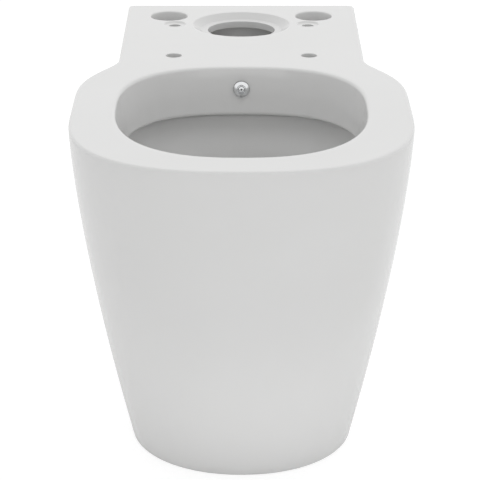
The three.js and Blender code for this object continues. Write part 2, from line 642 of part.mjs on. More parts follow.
// Middle line of the trapway: up from the sump, over the crest and back to the level spigot
function trapPath(endY) {
  const heights = [TRAP_START_HEIGHT, TRAP_CREST_HEIGHT, TRAP_CREST_HEIGHT, OUTLET_HEIGHT];
  const start = new THREE.Vector3(0, TRAP_JOIN_Y + GAP, TRAP_START_HEIGHT);
  const end = new THREE.Vector3(0, endY, OUTLET_HEIGHT);
  const corners = TRAP_CORNER_SHARES.map((share, i) => {
    const y = lerp(start.y, endY, share);
    return new THREE.Vector3(0, y, heights[i]);
  });
  return roundedPath([start, ...corners, end], TRAP_BEND_RADIUS);
}

// Round section swept along a path
function swept(radius, sides, path, runs) {
  const section = new THREE.Shape();
  for (let i = 0; i < sides; i += 1) {
    const turn = (i / sides) * 2 * Math.PI;
    const point = [radius * Math.cos(turn), radius * Math.sin(turn)];
    if (i === 0) section.moveTo(...point);
    else section.lineTo(...point);
  }
  section.closePath();
  return solidOf(new THREE.ExtrudeGeometry(section, { steps: runs, extrudePath: path, bevelEnabled: false }));
}

// Trapway: the siphon-shaped passage behind the bowl, with the outlet spigot at its end
function trapway() {
  const endY = REAR_Y - SPIGOT_SETBACK;
  const outside = swept(TRAP_OUTER_RADIUS, TRAP_SIDES, trapPath(endY), TRAP_RUNS);
  const spigot = bar(SPIGOT_DIAMETER / 2, -endY, SPIGOT_LENGTH - endY, TRAP_SIDES).rotateX(Math.PI / 2);
  const inside = swept(TRAP_BORE / 2, TRAP_SIDES, trapPath(endY), TRAP_RUNS);
  const mouth = bar(TRAP_BORE / 2, -TRAP_JOIN_Y - OVERRUN, OVERRUN - TRAP_JOIN_Y, TRAP_SIDES);
  const end = bar(TRAP_BORE / 2, -endY - OVERRUN, OVERRUN - endY, TRAP_SIDES);
  mouth.rotateX(Math.PI / 2);
  end.rotateX(Math.PI / 2);
  return outside
    .add(solidOf(spigot.translate(0, 0, OUTLET_HEIGHT)))
    .subtract(inside)
    .subtract(solidOf(mouth.translate(0, 0, TRAP_START_HEIGHT)))
    .subtract(solidOf(end.translate(0, 0, OUTLET_HEIGHT)));
}

// Rectangle with rounded rear corners, or with all four rounded
function roundedBox(halfWidth, frontY, backY, radius) {
  const shape = new THREE.Shape();
  shape.moveTo(-halfWidth + radius, frontY);
  shape.absarc(halfWidth - radius, frontY + radius, radius, -Math.PI / 2, 0);
  shape.absarc(halfWidth - radius, backY - radius, radius, 0, Math.PI / 2);
  shape.absarc(radius - halfWidth, backY - radius, radius, Math.PI / 2, Math.PI);
  shape.absarc(radius - halfWidth, frontY + radius, radius, Math.PI, Math.PI * 3 / 2);
  return shape;
}

// Flush duct: a chamber under the inlet that forks round the nozzle's dry well
function flushDuct() {
  const floor = HEIGHT - DUCT_FLOOR_DEPTH;
  const frontY = INLET_Y - CHAMBER_HALF_LENGTH;
  const backY = INLET_Y + CHAMBER_HALF_LENGTH;
  const low = DUCT_UNDERSIDE;
  const over = DECK_UNDERSIDE + OVERRUN;
  const innerRound = CHAMBER_ROUND - DUCT_WALL;
  const innerHalf = CHAMBER_HALF_WIDTH - DUCT_WALL;
  const innerBox = roundedBox(innerHalf, frontY + DUCT_WALL, backY - DUCT_WALL, innerRound);
  const outerBox = roundedBox(CHAMBER_HALF_WIDTH, frontY, backY, CHAMBER_ROUND);
  let outside = solidOf(prism(outerBox, low, DECK_UNDERSIDE));
  let inside = solidOf(prism(innerBox, floor, over));
  for (const side of [-1, 1]) {
    const near = side * DRY_WELL_HALF_WIDTH;
    const far = side * CHAMBER_HALF_WIDTH;
    const [left, right] = [Math.min(near, far), Math.max(near, far)];
    outside = outside.add(solidOf(block([left, CHANNEL_BACK_Y, low], [right, INLET_Y, DECK_UNDERSIDE])));
    const passage = block(
      [left + DUCT_WALL, CHANNEL_BACK_Y - OVERRUN, floor],
      [right - DUCT_WALL, INLET_Y, over],
    );
    inside = inside.add(solidOf(passage));
  }
  return outside.subtract(inside).subtract(channelBack(CHANNEL_BACK_WALL + GAP));
}

// Nozzle body: the dome, the ball's socket and the threaded shank
const domeBack = FRONT_GASKET_THICKNESS + 2 * GAP;
const domeFace = DOME_HEIGHT;
const ballSeat = BALL_RADIUS + BALL_CLEARANCE;
const ballCentre = DOME_HEIGHT + RETAINER_PROUD - Math.sqrt(ballSeat ** 2 - RETAINER_MOUTH_RADIUS ** 2);
const socketRadius = RETAINER_RADIUS + GAP;
const seatRadius = BALL_RADIUS * SOCKET_SEAT_SHARE;
const socketFloor = ballCentre - Math.sqrt(ballSeat ** 2 - seatRadius ** 2);
const shankEnd = -padDepth - SHANK_PAST_WALL;
const tubeSocket = shankEnd + TUBE_SOCKET_DEPTH;

function nozzleBody() {
  const dome = [];
  for (let i = 0; i <= ROUND_STEPS; i += 1) {
    const turn = (i / ROUND_STEPS) * (Math.PI / 2);
    const radius = lerp(DOME_FACE_RADIUS, DOME_RADIUS, Math.cos(turn));
    dome.push([radius, lerp(domeBack + DOME_EDGE, domeFace, Math.sin(turn))]);
  }
  return turned([
    [SHANK_BORE_RADIUS, tubeSocket],
    [TUBE_RADIUS + GAP, tubeSocket],
    [TUBE_RADIUS + GAP, shankEnd],
    [SHANK_RADIUS, shankEnd],
    [SHANK_RADIUS, domeBack],
    [DOME_RADIUS, domeBack],
    ...dome,
    [socketRadius, domeFace],
    [socketRadius, socketFloor],
    [seatRadius, socketFloor],
    [SHANK_BORE_RADIUS, socketFloor - (seatRadius - SHANK_BORE_RADIUS)],
  ]);
}

// Ball retainer: the ring screwed into the dome, with a spherical seat
function ballRetainer() {
  const mouthAngle = THREE.MathUtils.radToDeg(Math.acos(RETAINER_MOUTH_RADIUS / ballSeat));
  const foot = socketFloor + GAP;
  return turned([
    [ballSeat, foot],
    [RETAINER_RADIUS, foot],
    [RETAINER_RADIUS, domeFace + RETAINER_PROUD / 2],
    [RETAINER_RADIUS - RETAINER_PROUD / 2, domeFace + RETAINER_PROUD],
    ...arc([0, ballCentre], ballSeat, mouthAngle, 0, ROUND_STEPS),
  ]);
}

// Spray ball: bored through, with a wider orifice at its face
function sprayBall() {
  const face = Math.sqrt(BALL_RADIUS ** 2 - ORIFICE_RADIUS ** 2);
  const back = Math.sqrt(BALL_RADIUS ** 2 - BALL_BORE_RADIUS ** 2);
  const faceAngle = THREE.MathUtils.radToDeg(Math.atan2(face, ORIFICE_RADIUS));
  const backAngle = THREE.MathUtils.radToDeg(Math.atan2(-back, BALL_BORE_RADIUS));
  return turned([
    [BALL_BORE_RADIUS, ballCentre + face - ORIFICE_DEPTH],
    ...arc([0, ballCentre], BALL_RADIUS, backAngle, faceAngle, 3 * ROUND_STEPS),
    [ORIFICE_RADIUS, ballCentre + face - ORIFICE_DEPTH],
  ]);
}

// Nut with a hexagonal outside and a turned inside
function nut(acrossFlats, low, high, inside) {
  return solidOf(hexagon(acrossFlats, low, high)).subtract(solidOf(turned(inside)));
}

// Copper tube from the nozzle's shank, down the dry well and across to the inlet
function feedTube() {
  const onAxis = (distance) => new THREE.Vector3(0, 0, distance).applyMatrix4(nozzle.matrixWorld);
  const nutBack = shankEnd - OLIVE_LENGTH - TUBE_NUT_END;
  const first = onAxis(tubeSocket - GAP);
  const corner = onAxis(nutBack - TUBE_DROP_BEHIND_NUT);
  const crossing = lerp(TRAP_CREST_HEIGHT + TRAP_OUTER_RADIUS, DUCT_UNDERSIDE, TUBE_CROSSING_SHARE);
  const inletEnd = new THREE.Vector3(BIDET_INLET_X, neckFoot + TUBE_SOCKET_DEPTH - GAP, BIDET_INLET_HEIGHT);
  const kneeY = inletEnd.y - 3 * TUBE_BEND;
  const path = roundedPath([
    first,
    corner,
    new THREE.Vector3(0, corner.y, crossing),
    new THREE.Vector3(BIDET_INLET_X, (corner.y + kneeY) / 2, crossing),
    new THREE.Vector3(BIDET_INLET_X, kneeY, BIDET_INLET_HEIGHT),
    inletEnd,
  ], TUBE_BEND);
  const outside = swept(TUBE_RADIUS, TUBE_SIDES, path, TUBE_RUNS);
  return outside.subtract(swept(TUBE_BORE_RADIUS, TUBE_SIDES, path, TUBE_RUNS));
}

// Bracket: an angle that stands on the floor inside the skirt, screwed from the side
const bracketFace = FOOT_WIDTH / 2 - SKIRT_WALL - GAP;

function floorBracket() {
  const half = BRACKET_WIDTH / 2;
  const upright = new THREE.Shape();
  upright.moveTo(-half, 0);
  upright.lineTo(half, 0);
  upright.lineTo(half, BRACKET_HEIGHT - BRACKET_ROUND);
  upright.absarc(half - BRACKET_ROUND, BRACKET_HEIGHT - BRACKET_ROUND, BRACKET_ROUND, 0, Math.PI / 2);
  upright.absarc(BRACKET_ROUND - half, BRACKET_HEIGHT - BRACKET_ROUND, BRACKET_ROUND, Math.PI / 2, Math.PI);
  const plate = prism(upright, 0, BRACKET_THICKNESS).rotateX(Math.PI / 2).rotateZ(Math.PI / 2);
  plate.translate(bracketFace - BRACKET_THICKNESS, fixing.position.y, 0);
  const footEnd = bracketFace - BRACKET_FOOT_LENGTH;
  const foot = block(
    [footEnd, fixing.position.y - half, 0],
    [bracketFace, fixing.position.y + half, BRACKET_THICKNESS],
  );
  const floorHole = bar(FLOOR_HOLE_RADIUS, -OVERRUN, BRACKET_THICKNESS + OVERRUN, SMALL_HOLE_SIDES);
  const middle = (footEnd + bracketFace - BRACKET_THICKNESS) / 2;
  const screwHole = bar(SCREW_RADIUS + GAP, -SCREW_LENGTH, SCREW_LENGTH, SMALL_HOLE_SIDES);
  return solidOf(plate)
    .add(solidOf(foot))
    .subtract(solidOf(floorHole.translate(middle, fixing.position.y, 0)))
    .subtract(solidOf(screwHole.applyMatrix4(fixing.matrixWorld)));
}

// Sleeve: the flanged bush that keeps the screw off the ware
const sleeveRadius = FIXING_HOLE_RADIUS - GAP;
const sleeveFoot = -SKIRT_WALL + GAP;
const cupRadius = sleeveRadius - SLEEVE_WALL;

function screwSleeve() {
  return turned([
    [SCREW_RADIUS + GAP, sleeveFoot],
    [sleeveRadius, sleeveFoot],
    [sleeveRadius, GAP],
    [SLEEVE_FLANGE_RADIUS, GAP],
    [SLEEVE_FLANGE_RADIUS, GAP + SLEEVE_FLANGE],
    [cupRadius, GAP + SLEEVE_FLANGE],
    [cupRadius, sleeveFoot + SLEEVE_FLOOR],
    [SCREW_RADIUS + GAP, sleeveFoot + SLEEVE_FLOOR],
  ]);
}

// Side screw: a pan head with a slot, in the sleeve's cup
function sideScrew() {
  const seat = sleeveFoot + SLEEVE_FLOOR + GAP;
  const screw = solidOf(turned([
    [0, seat - SCREW_LENGTH],
    [SCREW_RADIUS - SCREW_RADIUS / 3, seat - SCREW_LENGTH],
    [SCREW_RADIUS, seat - SCREW_LENGTH + SCREW_RADIUS],
    [SCREW_RADIUS, seat],
    [SCREW_HEAD_RADIUS, seat],
    [SCREW_HEAD_RADIUS, seat + SCREW_HEAD_HEIGHT * 2 / 3],
    [SCREW_HEAD_RADIUS - SCREW_HEAD_HEIGHT / 3, seat + SCREW_HEAD_HEIGHT],
    [0, seat + SCREW_HEAD_HEIGHT],
  ]));
  const slot = block(
    [-SCREW_HEAD_RADIUS - OVERRUN, -SCREW_SLOT_WIDTH / 2, seat + SCREW_HEAD_HEIGHT / 2],
    [SCREW_HEAD_RADIUS + OVERRUN, SCREW_SLOT_WIDTH / 2, seat + SCREW_HEAD_HEIGHT + OVERRUN],
  );
  return screw.subtract(solidOf(slot));
}

// Cover cap: a low dome with a plug that presses into the sleeve's cup
function coverCap() {
  const base = 2 * GAP + SLEEVE_FLANGE;
  const plug = cupRadius - GAP;
  const crown = [];
  for (let i = 0; i <= ROUND_STEPS; i += 1) {
    const turn = (i / ROUND_STEPS) * (Math.PI / 2);
    crown.push([CAP_RADIUS * Math.cos(turn), base + CAP_EDGE + (CAP_CROWN - CAP_EDGE) * Math.sin(turn)]);
  }
  crown[ROUND_STEPS][0] = 0;
  const foot = base - CAP_PLUG_LENGTH;
  return turned([[0, foot], [plug, foot], [plug, base], [CAP_RADIUS, base], ...crown]);
}

// Inlet, in a frame whose +Z looks back along the tube's end
const nutEnd = REAR_Y - UNION_FROM_REAR;
const nutFoot = nutEnd - UNION_LENGTH;
const flangeFoot = nutFoot + UNION_SHOULDER + GAP;
const flangeEnd = flangeFoot + TAILPIECE_FLANGE;
const neckFoot = flangeFoot - TAILPIECE_NECK_LENGTH;
const inlet = new THREE.Group();
inlet.position.set(BIDET_INLET_X, 0, BIDET_INLET_HEIGHT);
inlet.rotation.x = -Math.PI / 2;

function inletTailpiece() {
  const flange = UNION_THREAD_RADIUS - GAP;
  return turned([
    [TUBE_BORE_RADIUS, flangeEnd],
    [TUBE_BORE_RADIUS, neckFoot + TUBE_SOCKET_DEPTH],
    [TUBE_RADIUS + GAP, neckFoot + TUBE_SOCKET_DEPTH],
    [TUBE_RADIUS + GAP, neckFoot],
    [TAILPIECE_NECK_RADIUS, neckFoot],
    [TAILPIECE_NECK_RADIUS, flangeFoot],
    [flange, flangeFoot],
    [flange, flangeEnd],
  ]);
}

function unionNut() {
  return nut(UNION_ACROSS_FLATS, nutFoot, nutEnd, [
    [0, nutFoot - OVERRUN],
    [TAILPIECE_NECK_RADIUS + GAP, nutFoot - OVERRUN],
    [TAILPIECE_NECK_RADIUS + GAP, nutFoot + UNION_SHOULDER],
    [UNION_THREAD_RADIUS, nutFoot + UNION_SHOULDER],
    [UNION_THREAD_RADIUS, nutEnd + OVERRUN],
    [0, nutEnd + OVERRUN],
  ]);
}

// Scene graph
const pan = new THREE.Group();

function add(parent, name, shape, material) {
  const geometry = shape.isBufferGeometry ? shape : geometryOf(shape);
  const mesh = new THREE.Mesh(geometry, material);
  mesh.name = name;
  parent.add(mesh);
  return mesh;
}

add(pan, 'rim_deck', rimDeck(), glaze);
add(pan, 'pan_skirt', panSkirt(), glaze);
add(pan, 'bowl', bowl(), glaze);
add(pan, 'trapway', trapway(), glaze);
add(pan, 'flush_duct', flushDuct(), glaze);

const rearStack = -padDepth - GAP;
const washerFace = rearStack - REAR_GASKET_THICKNESS - GAP;
const locknutFace = washerFace - REAR_WASHER_THICKNESS - GAP;
const onShank = SHANK_RADIUS + GAP;
const oliveFront = shankEnd - GAP;
const oliveBack = oliveFront - OLIVE_LENGTH;
add(nozzle, 'nozzle_body', nozzleBody(), chrome);
add(nozzle, 'ball_retainer', ballRetainer(), chrome);
add(nozzle, 'spray_ball', sprayBall(), chrome);
const gasketFace = GAP + FRONT_GASKET_THICKNESS;
add(nozzle, 'nozzle_gasket', washer(onShank, DOME_RADIUS - GAP, GAP, gasketFace), rubber);
const gasketFoot = rearStack - REAR_GASKET_THICKNESS;
const washerBack = washerFace - REAR_WASHER_THICKNESS;
add(nozzle, 'rear_gasket', washer(onShank, REAR_GASKET_RADIUS, gasketFoot, rearStack), rubber);
add(nozzle, 'rear_washer', washer(onShank, REAR_GASKET_RADIUS, washerBack, washerFace), steel);
add(nozzle, 'nozzle_locknut', nut(LOCKNUT_ACROSS_FLATS, locknutFace - LOCKNUT_THICKNESS, locknutFace, [
  [0, locknutFace - LOCKNUT_THICKNESS - OVERRUN],
  [onShank, locknutFace - LOCKNUT_THICKNESS - OVERRUN],
  [onShank, locknutFace + OVERRUN],
  [0, locknutFace + OVERRUN],
]), brass);
add(nozzle, 'tube_olive', turned([
  [TUBE_RADIUS + GAP, oliveBack],
  [TUBE_RADIUS + GAP + OLIVE_THICKNESS / 2, oliveBack],
  [TUBE_RADIUS + GAP + OLIVE_THICKNESS, (oliveBack + oliveFront) / 2],
  [TUBE_RADIUS + GAP + OLIVE_THICKNESS / 2, oliveFront],
  [TUBE_RADIUS + GAP, oliveFront],
]), brass);
const nutShoulder = oliveBack - GAP;
add(nozzle, 'tube_nut', nut(TUBE_NUT_ACROSS_FLATS, nutShoulder - TUBE_NUT_END, shankEnd + TUBE_NUT_GRIP, [
  [0, nutShoulder - TUBE_NUT_END - OVERRUN],
  [TUBE_RADIUS + GAP, nutShoulder - TUBE_NUT_END - OVERRUN],
  [TUBE_RADIUS + GAP, nutShoulder],
  [onShank, nutShoulder],
  [onShank, shankEnd + TUBE_NUT_GRIP + OVERRUN],
  [0, shankEnd + TUBE_NUT_GRIP + OVERRUN],
]), brass);
pan.add(nozzle);

const washerFoot = flangeEnd + GAP;
add(inlet, 'inlet_tailpiece', inletTailpiece(), brass);
add(inlet, 'inlet_union_nut', unionNut(), chrome);
const washerEnd = washerFoot + INLET_WASHER_THICKNESS;
add(inlet, 'inlet_washer', washer(TUBE_BORE_RADIUS, UNION_THREAD_RADIUS - GAP, washerFoot, washerEnd), rubber);
pan.add(inlet);
add(pan, 'feed_tube', feedTube(), copper);

for (const [name, turn] of [['right', 0], ['left', Math.PI]]) {
  const place = turn ? new THREE.Group() : fixing;
  place.position.set(turn ? -fixing.position.x : fixing.position.x, fixing.position.y, fixing.position.z);
  place.rotation.order = 'ZYX';
  place.rotation.y = fixing.rotation.y;
  place.rotation.z = turn;
  add(place, `screw_sleeve_${name}`, screwSleeve(), nylon);
  add(place, `side_screw_${name}`, sideScrew(), steel);
  add(place, `cover_cap_${name}`, coverCap(), glaze);
  pan.add(place);
  const bracket = add(pan, `floor_bracket_${name}`, floorBracket(), nylon);
  bracket.position.y = turn ? 2 * fixing.position.y : 0;
  bracket.rotation.z = turn;
}

export default pan;
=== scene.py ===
"""Bidet toilet: glazed ware with its spray nozzle, feed tube, inlet and floor fixings, in a pale studio."""

from math import acos, atan, cos, hypot, pi, radians, sin, sqrt, tan

import bmesh
import bpy
from mathutils import Matrix, Vector
from mathutils.geometry import delaunay_2d_cdt


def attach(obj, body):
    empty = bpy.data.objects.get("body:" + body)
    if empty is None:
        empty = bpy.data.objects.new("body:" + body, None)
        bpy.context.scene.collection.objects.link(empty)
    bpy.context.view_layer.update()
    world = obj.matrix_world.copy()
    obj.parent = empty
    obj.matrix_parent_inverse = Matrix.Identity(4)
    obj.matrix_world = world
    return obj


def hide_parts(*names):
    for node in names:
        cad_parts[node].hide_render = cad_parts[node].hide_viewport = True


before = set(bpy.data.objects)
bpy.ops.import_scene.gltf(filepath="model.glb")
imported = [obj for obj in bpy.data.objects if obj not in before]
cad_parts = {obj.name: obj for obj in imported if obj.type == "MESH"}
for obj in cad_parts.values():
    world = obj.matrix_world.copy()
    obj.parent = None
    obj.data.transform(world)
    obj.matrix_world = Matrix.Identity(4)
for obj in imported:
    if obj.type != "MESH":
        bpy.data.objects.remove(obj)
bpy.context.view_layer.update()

# Lengths are millimetres and become metres when a piece is finished
MM = 0.001
RIGHT_ANGLE = pi / 2
FULL_TURN = 2 * pi
TINY, SHORT, SMALL = 1e-6, 1e-4, 1e-3

# Overall size and plan of the pan
WIDTH, DEPTH, HEIGHT = 360, 665, 400
REAR_Y, FRONT_Y = DEPTH / 2, -DEPTH / 2
REAR_WIDTH, FOOT_WIDTH, FOOT_SETBACK = 279, 246.8, 157
RIM_NOSE_LENGTH, FOOT_NOSE_LENGTH = 192.2, 131.7
NECK_START_Y, NECK_END_Y = REAR_Y - 422.8, REAR_Y - 253.7
RIM_NOSE_POWER, FOOT_NOSE_POWER = 2.54, 2.07
SIDE_FLARE, FRONT_FLARE, NECK_POWER = 1.404, 1.456, 1.94
NOSE_STEPS, NECK_STEPS, SIDE_STEPS, CORNER_STEPS, REAR_STEPS = 48, 28, 12, 6, 12

# Walls, rounded edges, and the flat guards between a rounding and its plate
SKIRT_WALL, REAR_WALL, BOWL_WALL, LIP_WALL = 11, 12, 11, 10
UNDERSIDE = HEIGHT - 14.5
EDGE_RADIUS, FOOT_ROUND, REAR_CORNER, INNER_CORNER = 3.5, 2.2, 5, 4
EDGE_STEPS, FOOT_STEPS, OUTER_LEVELS, INNER_LEVELS = 7, 5, 56, 24
GUARD, HOLE_GUARD = 0.8, 0.2
SHARP_ANGLE, CORNER_REACH = 34, 0.48

# How far cutters pass a face, and how far joined solids overlap
CLEAR, HOLE_CLEAR, WALL_OVERLAP = 2, 3, 0.5
ABOVE_ALL = HEIGHT + 9

# Bowl opening and lip
OPENING_HALF_WIDTH = WIDTH / 2 - 40.2
OPENING_FRONT_Y, OPENING_BACK_Y = FRONT_Y + 43, REAR_Y - 280.4
OPENING_MIDDLE_Y = FRONT_Y + 227.8
OPENING_FRONT_POWER, OPENING_BACK_POWER = 2.45, 2.68
OPENING_ROUND, LIP_LEAN = 7.5, 5.5
LIP_FOOT, LEDGE_TOP, LEDGE_THICKNESS = HEIGHT - 53, HEIGHT - 65, 12
LIP_FOOT_ROUND = 4.2
LIP_END = LIP_FOOT - 1.6
MOUTH_ROUND = 6
OPENING_STEPS, BOWL_STEPS = 48, 32

# Basin, its curb behind the lip, and the rim channel
BASIN_INSET = OPENING_ROUND + LIP_LEAN - LIP_WALL + 2
BASIN_HIGH_POWER, BASIN_LOW_POWER, BASIN_BACK_POWER = 1.5, 1.6, 1.25
SETBACK, SETBACK_FOOT = 6, HEIGHT - 115
CURB_TOP, CURB_FLARE, CURB_POWER, CURB_WALL, CURB_SINK = HEIGHT - 50, 7, 1.6, 4, 5
CHANNEL_BACK_INSET, CHANNEL_BACK_WALL = -32.5, 10
CHANNEL_OUTSIDE = CHANNEL_BACK_INSET - CHANNEL_BACK_WALL
CHANNEL_BACK_Y = OPENING_BACK_Y - CHANNEL_BACK_INSET
DUCT_FRONT_Y = CHANNEL_BACK_Y + CHANNEL_BACK_WALL
CHANNEL_WALL_REACH, CHANNEL_WALL_SINK = 75, 5
SUMP_TOP, SUMP_HALF_WIDTH, SUMP_FRONT_Y, SUMP_BACK_Y = 140, 48, -76, 15
SUMP_POWER, SUMP_FLOOR, SUMP_ROUND = 2.2, 50, 14
BASIN_LEVELS, SUMP_LEVELS, SUMP_ROUND_LEVELS, CURB_LEVELS = 40, 12, 7, 8
SUMP_FLOOR_SHARES = (0.75, 0.5, 0.25, 0.05)

# Trapway and spigot
TRAP_BORE_RADIUS, TRAP_OUTER_RADIUS, TRAP_BEND, TRAP_STEP = 38, 48, 70, 4
TRAP_START, TRAP_CREST, OUTLET_HEIGHT = 88, 215, 180
TRAP_START_Y, TRAP_JOIN_Y, TRAP_END_Y = SUMP_BACK_Y - 20, 42, REAR_Y - 24
TRAP_CORNER_SHARES = (0.1675, 0.39, 0.6405, 0.8283)
BORE_RUN_IN, BORE_RUN_OUT = 6, 4
SPIGOT_RADIUS, SPIGOT_LENGTH, SPIGOT_ROUND = 51, 30, 2.5

# Flush inlet and duct
INLET_Y, INLET_RADIUS = REAR_Y - 93.5, 40
SEAT_RADIUS, SEAT_FLOOR_RADIUS, SEAT_DEPTH = 58.5, 47.5, 6.7
# SEAT_SHADE is painted shade: the share of the glaze's colour left in the flush inlet's seat
SEAT_ROUNDS, SEAT_SHADE = (1.6, 4, 1), 0.92
CHAMBER_HALF_WIDTH, CHAMBER_HALF_LENGTH, CHAMBER_ROUND = 62, 55, 24
DUCT_WALL, DUCT_FLOOR, DRY_WELL = 8, HEIGHT - 66, 22
DUCT_OVERLAP, BRANCH_MARGIN, BRANCH_RUN = 0.2, 4, 10

# Holes of the deck
HOLE_RUN = 6
FILL_X, FILL_Y, FILL_RADIUS, FILL_TAPER = 88, REAR_Y - 53.5, 22.2, 2.6
BOLT_X, BOLT_Y, BOLT_RADIUS = 80, REAR_Y - 91.5, 7
RECESS_RADIUS, RECESS_DEPTH, RECESS_TAPER, RECESS_SHARE = 13.2, 2.6, 2, 0.8
HINGE_X, HINGE_Y, HINGE_RADIUS = 77.5, REAR_Y - 235.5, 9
FILL_ROUNDS, BOLT_ROUNDS, HINGE_ROUNDS = (2,), (2, 3, 0.5), (1,)

# Pipe opening of the rear wall
ARCH_HALF_WIDTH, ARCH_HEIGHT, ARCH_ROUND, ARCH_STEPS = 95, 300, 30, 4

# Nozzle's seat, on the lip's leaning back wall
LEAN = atan(LIP_LEAN / (HEIGHT - OPENING_ROUND - LIP_FOOT))
NOZZLE_Z = HEIGHT - 24.5
PAD_DEPTH, PAD_RADIUS, PAD_ROOM = 50.68, 14, 40
SHANK_RADIUS, NOZZLE_HOLE_RADIUS, LIP_HOLE_DEPTH, DUCT_HOLE_DEPTH = 6.6, 7.2, 14, 90
BOSS_RADIUS, BOSS_START, BOSS_EXTRA = 15, 5, 4
GAP = 0.3

# Fixing, 45 above the floor inside each side
FIXING_HEIGHT, FIXING_Y = 45, REAR_Y - 122.5
FIXING_HOLE_RADIUS, FIXING_HOLE_ROUND, FIXING_HOLE_STEP = 7, 0.8, 5
SIDE_LEAN = atan((REAR_WIDTH - FOOT_WIDTH) / 2 / HEIGHT)


def blend(a, b, t):
    return a + (b - a) * t


def clamp(t):
    return min(max(t, 0), 1)


def smooth(t):
    return t * t * (3 - 2 * t)


def shares(count):
    """Even shares of a whole, from the first to 1"""
    return [i / count for i in range(1, count + 1)]


def arc_steps(count):
    """Angles of a quarter turn, both ends included"""
    return [RIGHT_ANGLE * i / count for i in range(count + 1)]


def quarter(x, y, radius, count, rise=None):
    """Points of a quarter turn about a middle, from its side to its top, flattened if a rise is given"""
    return [(x + radius * cos(a), y + (rise or radius) * sin(a)) for a in arc_steps(count)]


def edge_rounding(radius, count):
    """Insets and depths of a rounded edge, from its face inwards"""
    return [(radius * (1 - sin(a)), radius * (1 - cos(a))) for a in arc_steps(count)]


# Outlines


def pan_half(height, inset, rear_inset):
    """Right half of the pan's outline at a height, front to rear, moved in at its side and at its rear"""
    rise = min(height / (HEIGHT - EDGE_RADIUS), 1)
    nose_half = blend(FOOT_WIDTH, WIDTH, 1 - (1 - rise) ** SIDE_FLARE) / 2
    rear_half = blend(FOOT_WIDTH, REAR_WIDTH, rise) / 2
    tip = FRONT_Y + FOOT_SETBACK * (1 - rise) ** FRONT_FLARE
    widest = FRONT_Y + blend(FOOT_SETBACK + FOOT_NOSE_LENGTH, RIM_NOSE_LENGTH, rise)
    power = 2 / blend(FOOT_NOSE_POWER, RIM_NOSE_POWER, rise)
    corner = REAR_CORNER + inset * (SKIRT_WALL + INNER_CORNER - REAR_CORNER) / SKIRT_WALL
    points = []
    for turn in arc_steps(NOSE_STEPS):
        nose = (widest - tip) * max(cos(turn), 0) ** power
        points.append((nose_half * sin(turn) ** power, widest - nose))
    for share in shares(NECK_STEPS):
        y = blend(widest, NECK_END_Y, share)
        run = clamp((y - NECK_START_Y) / (NECK_END_Y - NECK_START_Y)) ** NECK_POWER
        points.append((blend(nose_half, rear_half, smooth(run)), y))
    points += [(rear_half, blend(NECK_END_Y, REAR_Y - corner, share)) for share in shares(SIDE_STEPS)]
    corner_start = len(points)
    points += quarter(rear_half - corner, REAR_Y - corner, corner, CORNER_STEPS)[1:]
    points += [(blend(rear_half - corner, 0, share), REAR_Y) for share in shares(REAR_STEPS)]
    moved = []
    for i, (x, y) in enumerate(points):
        before, after = points[max(i - 1, 0)], points[min(i + 1, len(points) - 1)]
        along = Vector((after[0] - before[0], after[1] - before[1])).normalized()
        if i == 0:
            along = Vector((1, 0))
        if i >= corner_start + CORNER_STEPS - 1:
            along = Vector((-1, 0))
        reach = rear_inset if i >= corner_start else inset
        moved.append((x - along.y * inset, y + along.x * reach))
    return moved


def oval_half(oval, steps):
    """Right half of two half superellipses on one middle line, front to rear"""
    half_width, front, back, middle, front_power, back_power = oval
    points = []
    for i in range(2 * steps + 1):
        turn = RIGHT_ANGLE * i / steps
        power = 2 / (front_power if i < steps else back_power)
        reach = middle - (front if i < steps else back)
        x = half_width * abs(sin(turn)) ** power
        points.append((x if i < 2 * steps else 0, middle - reach * abs(cos(turn)) ** power))
    return points


def opening(inset):
    """Bowl opening in the rim, moved in by an inset"""
    return (OPENING_HALF_WIDTH - inset, OPENING_FRONT_Y + inset, OPENING_BACK_Y - inset, OPENING_MIDDLE_Y,
            OPENING_FRONT_POWER, OPENING_BACK_POWER)


def lip_inset(z):
    """How far the lip's inner face stands inside the opening's edge"""
    return OPENING_ROUND + LIP_LEAN * (HEIGHT - OPENING_ROUND - z) / (HEIGHT - OPENING_ROUND - LIP_FOOT)


def basin(z, wall=0.0):
    """Inside of the basin at a height below the ledge, moved out by a wall"""
    half_width, front, back, middle, front_power, back_power = opening(BASIN_INSET)
    fall = clamp((LEDGE_TOP - z) / (LEDGE_TOP - SUMP_TOP))
    low = min(max(SUMP_FLOOR + SUMP_ROUND - z, 0), SUMP_ROUND)
    tuck = SUMP_ROUND - sqrt(SUMP_ROUND ** 2 - low ** 2)
    draw = fall ** BASIN_HIGH_POWER * (1 - fall) + (1 - (1 - fall) ** BASIN_LOW_POWER) * fall
    return (blend(half_width, SUMP_HALF_WIDTH, draw) - tuck + wall,
            blend(front, SUMP_FRONT_Y, draw) + tuck - wall,
            blend(back, SUMP_BACK_Y, fall ** BASIN_BACK_POWER) - tuck + wall,
            blend(middle, (SUMP_FRONT_Y + SUMP_BACK_Y) / 2, draw),
            blend(front_power, SUMP_POWER, fall), blend(back_power, SUMP_POWER, fall))


def setback(z):
    """How far the basin's inner face stands behind its plain form under the lip"""
    return SETBACK * smooth(clamp((z - SETBACK_FOOT) / (LEDGE_TOP - SETBACK_FOOT)))


def curb(z, wall=0):
    """Inner face of the curb that carries the basin up behind the lip, moved out by a wall"""
    rise = max(z - LEDGE_TOP, 0) / (CURB_TOP - LEDGE_TOP)
    return opening(BASIN_INSET - SETBACK - CURB_FLARE * rise ** CURB_POWER - wall)


def ring(half, z):
    """Whole ring at a height from its right half"""
    return [(x, y, z) for x, y in half] + [(-x, y, z) for x, y in reversed(half[1:-1])]


def pan_rings(levels):
    """Rings of the pan from side insets, rear insets and heights"""
    return [ring(pan_half(z, inset, rear_inset), z) for inset, rear_inset, z in levels]


